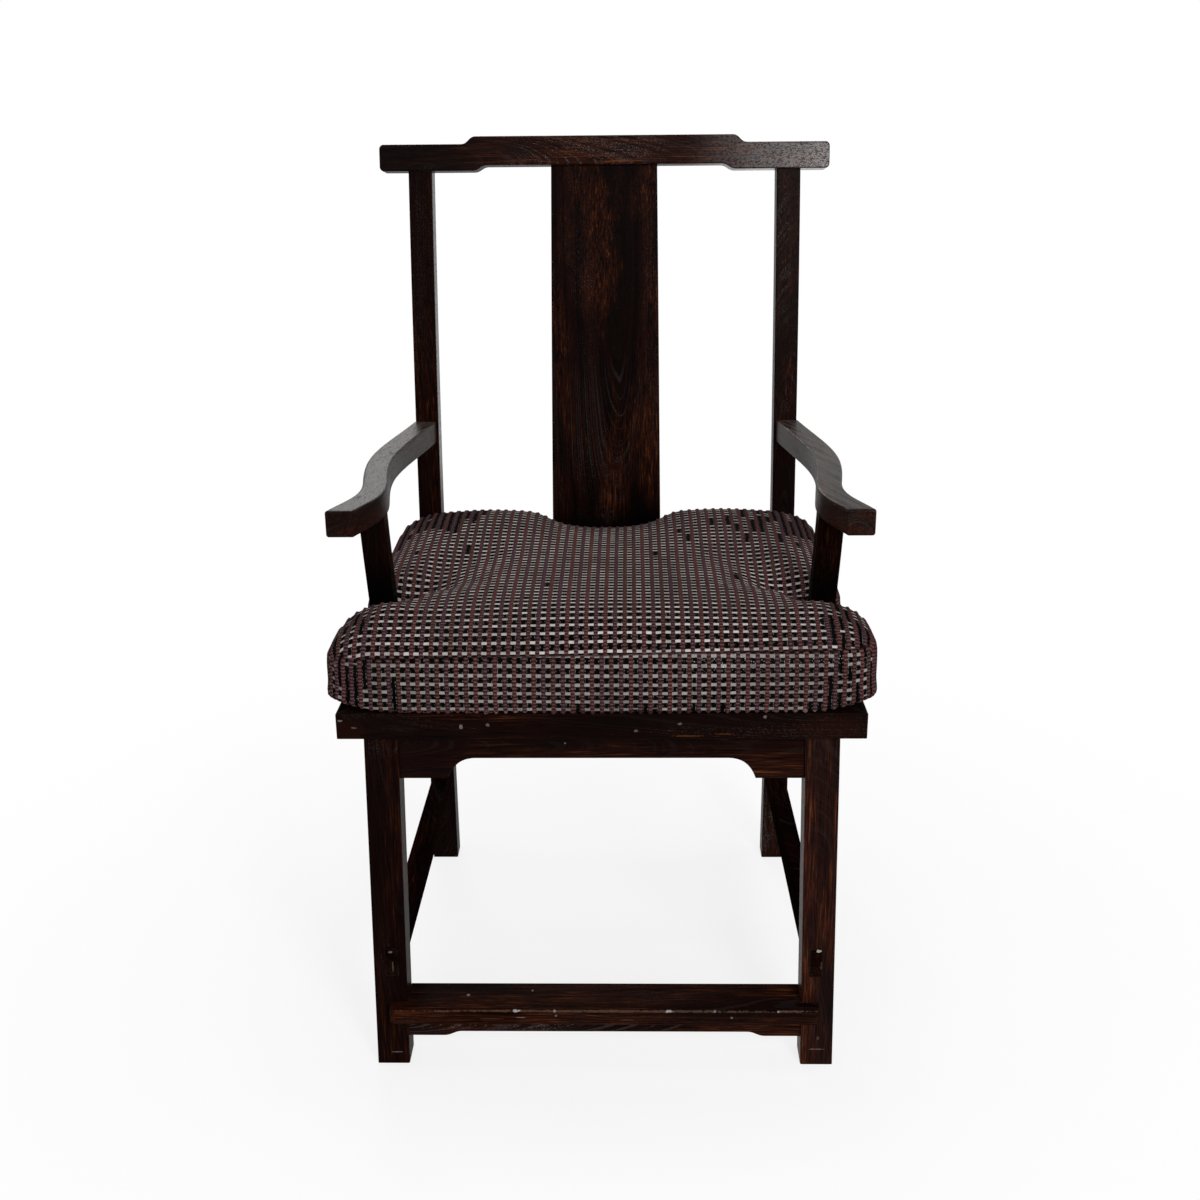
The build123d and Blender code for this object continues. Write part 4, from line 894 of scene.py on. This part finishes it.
def ribPaths(piece, p, line, top):
    # every rib of the cover as a line of points just under the surface
    v = pointsOf(piece.data)
    tree = BVHTree.FromPolygons([tuple(q) for q in v], [tuple(f.vertices) for f in piece.data.polygons])
    above = aboveSeam(v, p) > -0.010
    span = ribs["spacing"]
    levels = [span * (k + 0.5) for k in range(-32, 32)]
    paths = [(int(round(level / span - 0.5)), chain)
             for level, chain in isoLines(piece.data, v, top[:, 0], above, levels)]
    count = int(line["whole"] / span)
    for k in range(count):
        where = (k * line["whole"] / count + ribs["bandShift"]) % line["whole"]
        i = int(np.searchsorted(line["lengths"], where, side="right")) - 1
        j = (i + 1) % len(line["points"])
        t = (where - line["lengths"][i]) / line["steps"][i]
        spot = line["points"][i] * (1 - t) + line["points"][j] * t
        out = line["normals"][i]
        chain = []
        for z in np.linspace(p["bottom"] + 0.0030, seamHeight(spot[0], p) - 0.0004, 16):
            hit = tree.ray_cast(Vector((*(spot + out * 0.022), z)), Vector((*-out, 0)), 0.06)[0]
            if hit is not None:
                chain.append(np.array(hit))
        if len(chain) > 5:
            paths.append((k, np.array(chain)))
    finished = []
    for number, chain in paths:
        if aboveSeam(chain, p).max() > 0.010:      # a rib of the top ends at the seam
            chain = cutAtSeam(chain, p)
        if len(chain) < 4:
            continue
        chain = evenly(chain, ribs["step"])
        for again in range(2):
            chain[1:-1] = chain[1:-1] * 0.5 + (chain[:-2] + chain[2:]) * 0.25
        laid = []
        for q in chain:
            spot, normal, face, gap = tree.find_nearest(Vector(q))
            laid.append(spot - normal * ribs["sunk"])
        finished.append((number, laid))
    return finished


def spots(name, points, edges=(), **numbers):
    # an object of bare points, with a number for each under every label
    mesh = bpy.data.meshes.new(name)
    mesh.from_pydata(points, edges, [])
    for label, values in numbers.items():
        mesh.attributes.new(label, "FLOAT", "POINT").data.foreach_set("value", values)
    return objectOf(name, mesh)


def makeTubes(name, paths, radius, sides, material):
    # a tube along every path, which keeps the path's number and the length along it as attributes
    points, edges, number, along = [], [], [], []
    for k, chain in paths:
        first = len(points)
        points += [tuple(q) for q in chain]
        edges += [(first + i, first + i + 1) for i in range(len(chain) - 1)]
        number += [float(k)] * len(chain)
        along += list(np.r_[0, np.cumsum([(b - a).length for a, b in zip(chain, chain[1:])])])
    base = spots(name + "_paths", points, edges, ribNumber=number, ribAlong=along)
    tubes = Shape("chenilleRibs", {"Radius": "Float", "Sides": "Int", "Material": "Material"})
    curve = tubes.node("GeometryNodeMeshToCurve", None, {"Mesh": tubes.given["Geometry"]}, out="Curve")
    circle = tubes.node("GeometryNodeCurvePrimitiveCircle", None, {
        "Radius": tubes.given["Radius"], "Resolution": tubes.given["Sides"]}, out="Curve")
    tubes.finish(tubes.node("GeometryNodeCurveToMesh", None, {
        "Curve": curve, "Profile Curve": circle, "Fill Caps": True}, out="Mesh"))
    return tubes.made(name, base, {"Radius": radius, "Sides": sides, "Material": material})


def ribLook(p):
    look = Look("chenilleRib")
    vector, x, y, z = look.place()
    number, along = (look.node("ShaderNodeAttribute", {"attribute_name": label}, out="Fac")
                     for label in ("ribNumber", "ribAlong"))
    pick = look.dice(number)
    even = (number % 2.0) > 0.5
    colour = look.blend(even, p["rose"], p["mauve"])
    colour = look.blend((pick > 0.72) * 0.8, colour, p["brown"])
    fuzz = look.noise(vector, 1500.0, 3.0, 0.7)
    beads = look.wave(along * (6.283 / p["bead"]) + fuzz * 4.0 + number)
    # painted shade between the beads and painted highlights on their crests, for a twisted rope's relief
    colour = look.blend(look.between(beads, -1.0, 0.3, 0.80, 0.0), colour, p["between"])
    lit = look.between(beads, 0.75, 1.0, 0.0, 0.45) * look.between(fuzz, 0.45, 0.60)
    colour = look.blend(lit, colour, p["shadedPale"])
    colour = look.blend(look.between(fuzz, 0.25, 0.75, 0.5, 0.0), colour, p["deep"])
    # dirt at random, and painted shade towards the rear by the splat
    soil = look.noise(vector, 11.0, 3.0, 0.6) + look.between(y, 0.0, 0.15) * 0.30
    colour = look.blend(look.between(soil, 0.40, 0.75, 0.0, 0.35), colour, p["ribSoilAndRearShade"])
    normal = look.bump(fuzz * 0.6 + beads * 0.4, 0.8, 0.0011)
    return look.finish(baseColor=colour, roughness=0.85 + 0.1 * fuzz, specularLevel=0.006, normal=normal)


def fabricLook(p, c):
    look = Look("chenilleWeave")
    vector, x, y, z = look.place()
    half, front, rear, height = c["hollow"]
    upper = (z > seamHeight(x, c)) + (abs(x) < half) * (y > front) * (y < rear) * (z > height)
    upper = upper.sum("MINIMUM", upper, 1.0)
    uvTop, uvBand = (look.node("ShaderNodeUVMap", {"uv_map": name}, out="UV") for name in ("top", "band"))
    uv = look.node("ShaderNodeMix", {"data_type": "VECTOR"}, {
        "Factor_Float": upper, "A_Vector": uvBand, "B_Vector": uvTop}, out="Result_Vector")
    u = look.node("ShaderNodeSeparateXYZ", None, {"Vector": uv}, out="X")
    v = look.other("Y")
    wobble = look.noise(vector, 70.0, 2.0) - 0.5
    columns = (u - ribs["bandShift"] * (1 - upper)) / ribs["spacing"] + 0.5 * (1 - upper) + wobble * 0.10
    rows = (v + wobble * 0.0010) / p["row"]
    row = rows.sum("FLOOR", rows)
    inRow = rows - row
    gap = columns.sum("FLOOR", columns + 0.5)
    fromRib = 0.5 - abs(columns - gap)
    other = look.dice(gap)
    each = look.node("ShaderNodeTexWhiteNoise", {"noise_dimensions": "2D"}, {
        "Vector": look.vector(gap, row, 0.0)}, out="Value")
    light = look.between(abs(inRow - 0.5) + upper * 0.030, 0.195, 0.170)
    # in places the pale patches go dark and the dark patches join up: towards the rear corners, on the front
    # lobes, along the hem and at random
    run = look.line(v + other * 31.0, 17.0, 1.0)
    corner = look.between(abs(x), 0.08, 0.23) * look.between(y, -0.04, 0.13)
    lobe = look.between(abs(x + 0.012), 0.20, 0.30) * look.between(y, -0.10, -0.20)
    hem = look.between(z, 0.508, 0.496)
    run = run + corner * 0.47 + lobe * 0.30 + hem * 0.18 + (other - 0.5) * 0.10
    light = light * (1 - look.between(run, 0.79, 0.81))
    fuzz = look.noise(uv, 1700.0, 2.0, 0.7)
    threads = look.wave(v * (6.283 / p["thread"]))
    # painted shade: the band below the seam gets the dimmer copy of the pale
    pale = look.blend(upper, p["shadedPale"], p["pale"])
    patch = look.blend(light, p["black"], pale)
    # a fine pale thread follows each rib
    binding = look.between(abs(fromRib - 0.300), 0.040, 0.020)
    binding = binding * look.between(look.noise(uv, 420.0, 1.0), 0.52, 0.60)
    patch = look.blend(each * 0.45, patch, p["black"])
    patch = look.blend(binding * 0.50, patch, p["shadedPale"])
    # glints of bare thread along the seam, on the right
    glint = look.between(look.noise(uv, 700.0, 0.0), 0.74, 0.76) * look.between(x, 0.07, 0.12)
    glint = glint * look.between(abs(z - 0.550), 0.012, 0.006)
    patch = look.blend(glint, patch, p["glint"])
    shade = look.between(fuzz, 0.30, 0.62, 0.40, 0.0) + look.between(threads, -1.0, 0.2, 0.30, 0.0)
    patch = look.blend(shade, patch, p["shade"])
    # dirt at random, and painted shade towards the rear by the splat
    soil = look.noise(vector, 9.0, 3.0, 0.6) + look.between(y, 0.0, 0.15) * 0.30
    colour = look.blend(look.between(soil, 0.35, 0.75, 0.0, 0.30), patch, p["soil"])
    # the seam, and the plain lining underneath
    seam = look.between(abs(z - seamHeight(x, c)), 0.0016, 0.0004)
    colour = look.blend(seam * 0.85, colour, p["seam"])
    under = look.between(z, c["bottom"] + 0.0012, c["bottom"] + 0.0004)
    weft = look.wave((x + y) * 4200.0)
    lining = look.blend(look.between(weft, -1.0, 1.0), p["lining"], times(p["lining"], 2.2))
    colour = look.blend(under, colour, lining)
    height = 0.5 * light + 0.2 * fuzz + 0.15 * threads - 1.6 * seam
    normal = look.bump(height, 0.8, 0.0012)
    return look.finish(baseColor=colour, roughness=0.80 + 0.12 * fuzz, specularLevel=0.004, normal=normal)


# spread is how much smaller the smallest knot is
tufts = {"radius": 0.0029, "spread": 0.35, "lift": 0.0004, "out": 0.0022, "seed": 11}


def frontHem(paths, p):
    # the lower ends of the front band's ribs
    return [(k, min(chain, key=lambda q: q.z)) for k, chain in paths
            if max(q.z for q in chain) < p["seam"] + 0.008 and min(q.y for q in chain) < -0.26]


def makeTufts(paths, material, p, c):
    # small knots where the cover is gathered under
    ends = frontHem(paths, c)
    base = spots("tuftSpots", [(q.x, q.y - p["out"], q.z + p["lift"]) for k, q in ends],
                 ribNumber=[float(k) for k, q in ends], ribAlong=[0.1 * k for k, q in ends])
    tree = Shape("edgeTufts", {"Radius": "Float", "Spread": "Float", "Seed": "Int", "Material": "Material"})
    ball = tree.node("GeometryNodeMeshUVSphere", None, {
        "Segments": 8, "Rings": 6, "Radius": tree.given["Radius"]}, out="Mesh")
    size, turn = (tree.node("FunctionNodeRandomValue", {"data_type": "FLOAT_VECTOR"}, {
        "Min": low, "Max": high, "Seed": tree.given["Seed"]}) for low, high in (
        (1.0 - tree.given["Spread"], (1.15, 1.05, 1.35)), ((0.0, 0.0, 0.0), (6.28, 6.28, 6.28))))
    tree.finish(tree.scatter(ball, {"Scale": size, "Rotation": turn}))
    return tree.made("cushion_tufts", base, {
        "Radius": p["radius"], "Spread": p["spread"], "Seed": p["seed"], "Material": material})


looseThread = {"from": -0.240, "to": -0.115, "radius": 0.0006, "sides": 5, "out": 0.0020, "seed": 4}


def loosePath(paths, p, c):
    # a pulled thread that hangs along the hem from rib to rib
    hem = np.array(sorted((tuple(q) for k, q in frontHem(paths, c)), key=lambda q: q[0]))
    chance = np.random.default_rng(p["seed"])
    xs = np.arange(p["from"], p["to"], 0.004)
    ys = np.interp(xs, hem[:, 0], hem[:, 1]) - ribs["radius"] - p["out"]
    ys += chance.uniform(-0.0006, 0.0006, len(xs))
    zs = np.interp(xs, hem[:, 0], hem[:, 2]) + 0.0012 + 0.0012 * np.sin(xs * 260)
    zs += chance.uniform(-0.0006, 0.0006, len(xs))
    return [Vector(q) for q in zip(xs, ys, zs)]


zipper = {
    "half": 0.150, "middle": 0.5338, "tape": 0.0120, "back": 0.2186, "thick": 0.0012,
    "pitch": 0.0016, "tooth": (0.0009, 0.0013, 0.0030), "sliderAt": -0.128,
    # body, bridge and pull: from where the slider is, size, bevel
    "slider": [((0, 0.0013, 0), (0.0085, 0.0026, 0.0070), 0.0007),
               ((0, 0.0031, 0.0008), (0.0026, 0.0016, 0.0034), 0.0005),
               ((-0.0008, 0.0034, -0.0105), (0.0046, 0.0011, 0.0190), 0.0005)],
    # colour, lines to the metre over two pi, roughness
    "zipTape": ((0.0075, 0.0065, 0.0070), 5200.0, 0.8), "zipTeeth": ((0.020, 0.018, 0.018), 900.0, 0.42),
}


def block(bm, centre, size, bevel=0.0004):
    made = bmesh.ops.create_cube(bm, size=1.0)["verts"]
    for v in made:
        v.co = Vector(centre) + Vector((v.co.x * size[0], v.co.y * size[1], v.co.z * size[2]))
    edges = list({e for v in made for e in v.link_edges})
    bmesh.ops.bevel(bm, geom=edges, offset=bevel, segments=2, profile=0.6, affect="EDGES")


def zipLook(name, colour, scale, rough):
    look = Look(name)
    vector, x, y, z = look.place()
    grain = look.noise(vector, 900.0, 2.0)
    lines = look.wave((x + z) * scale)
    shade = look.blend(look.between(lines, -1.0, 1.0), times(colour, 0.6), times(colour, 1.5))
    return look.finish(baseColor=look.blend(grain * 0.4, shade, times(colour, 2.2)), specularLevel=0.3,
                       roughness=rough + 0.1 * grain, normal=look.bump(lines * 0.5 + grain, 0.4, 0.0003))


def makeZip(p):
    # two tapes, a row of teeth with every other one raised, a slider with its pull, and end stops
    tape, metal = (zipLook(name, *p[name]) for name in ("zipTape", "zipTeeth"))
    out, half, middle = p["back"] + p["thick"], p["half"], p["middle"]
    bm = bmesh.new()
    for side in (-1, 1):
        block(bm, (0, p["back"] + p["thick"] / 2, middle + side * (p["tape"] / 4 + 0.0002)),
              (2 * half, p["thick"], p["tape"] / 2 - 0.0004), 0.0003)
    strip = objectFromBmesh("zip_tape", bm, tape)
    count = int(2 * half / p["pitch"]) - 2
    base = spots("toothSpots", [
        ((i - count / 2 + 0.5) * p["pitch"], out + 0.0004, middle + (0.0005 if i % 2 else -0.0005))
        for i in range(count)])
    tree = Shape("zipRow", {"Size": "Vector", "Material": "Material"})
    tooth = tree.node("GeometryNodeMeshCube", None, {"Size": tree.given["Size"]}, out="Mesh")
    tree.finish(tree.scatter(tooth))
    row = tree.made("zip_teeth", base, {"Size": p["tooth"], "Material": metal})
    row.data.shade_flat()
    bm = bmesh.new()
    for (x, y, z), size, bevel in p["slider"]:
        block(bm, (p["sliderAt"] + x, out + y, middle + z), size, bevel)
    for end in (-1, 1):
        block(bm, (end * (half - 0.0022), out + 0.0005, middle), (0.0024, 0.0012, 0.0050))
    slider = objectFromBmesh("zip_slider", bm, metal)
    slider.data.shade_smooth()
    return strip, row, slider


outline, wide = traceOutline(cushion["plan"]), traceOutline(cushion["wide"])
piece = cushionStart(cushion, outline, wide)
inflate(piece, cushion)
setPoints(piece.data, keepClear(pointsOf(piece.data), cushion))
print("cushion shaped")
topFlat = flatMaps(piece, cushion, outline, wide)
paths = ribPaths(piece, cushion, outline, topFlat)
print("ribs:", len(paths))
yarn = ribLook(fabric)
cover = makeTubes("cushion_ribs", paths, ribs["radius"], ribs["sides"], yarn)
knots = makeTufts(paths, yarn, tufts, cushion)
loosePoints = loosePath(paths, looseThread, cushion)
loose = makeTubes("loose_thread", [(3, loosePoints)], looseThread["radius"], looseThread["sides"], yarn)
divide = piece.modifiers.new("finer", "SUBSURF")
divide.levels = divide.render_levels = 1
applied(piece)
setPoints(piece.data, keepClear(pointsOf(piece.data), cushion))
piece.data.materials.append(fabricLook(fabric, cushion))
piece.data.shade_smooth()
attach(piece, "cushion")
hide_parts("cushion_cover", "cushion_foam")
for part in (cover, knots, loose):
    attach(part, "cushion")
print("cushion:", len(piece.data.polygons), "faces,", len(cover.data.polygons), "faces of ribs")
zipParts = makeZip(zipper)
for part in zipParts:
    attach(part, "cushion")
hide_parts("cushion_zip")
print("zip made")
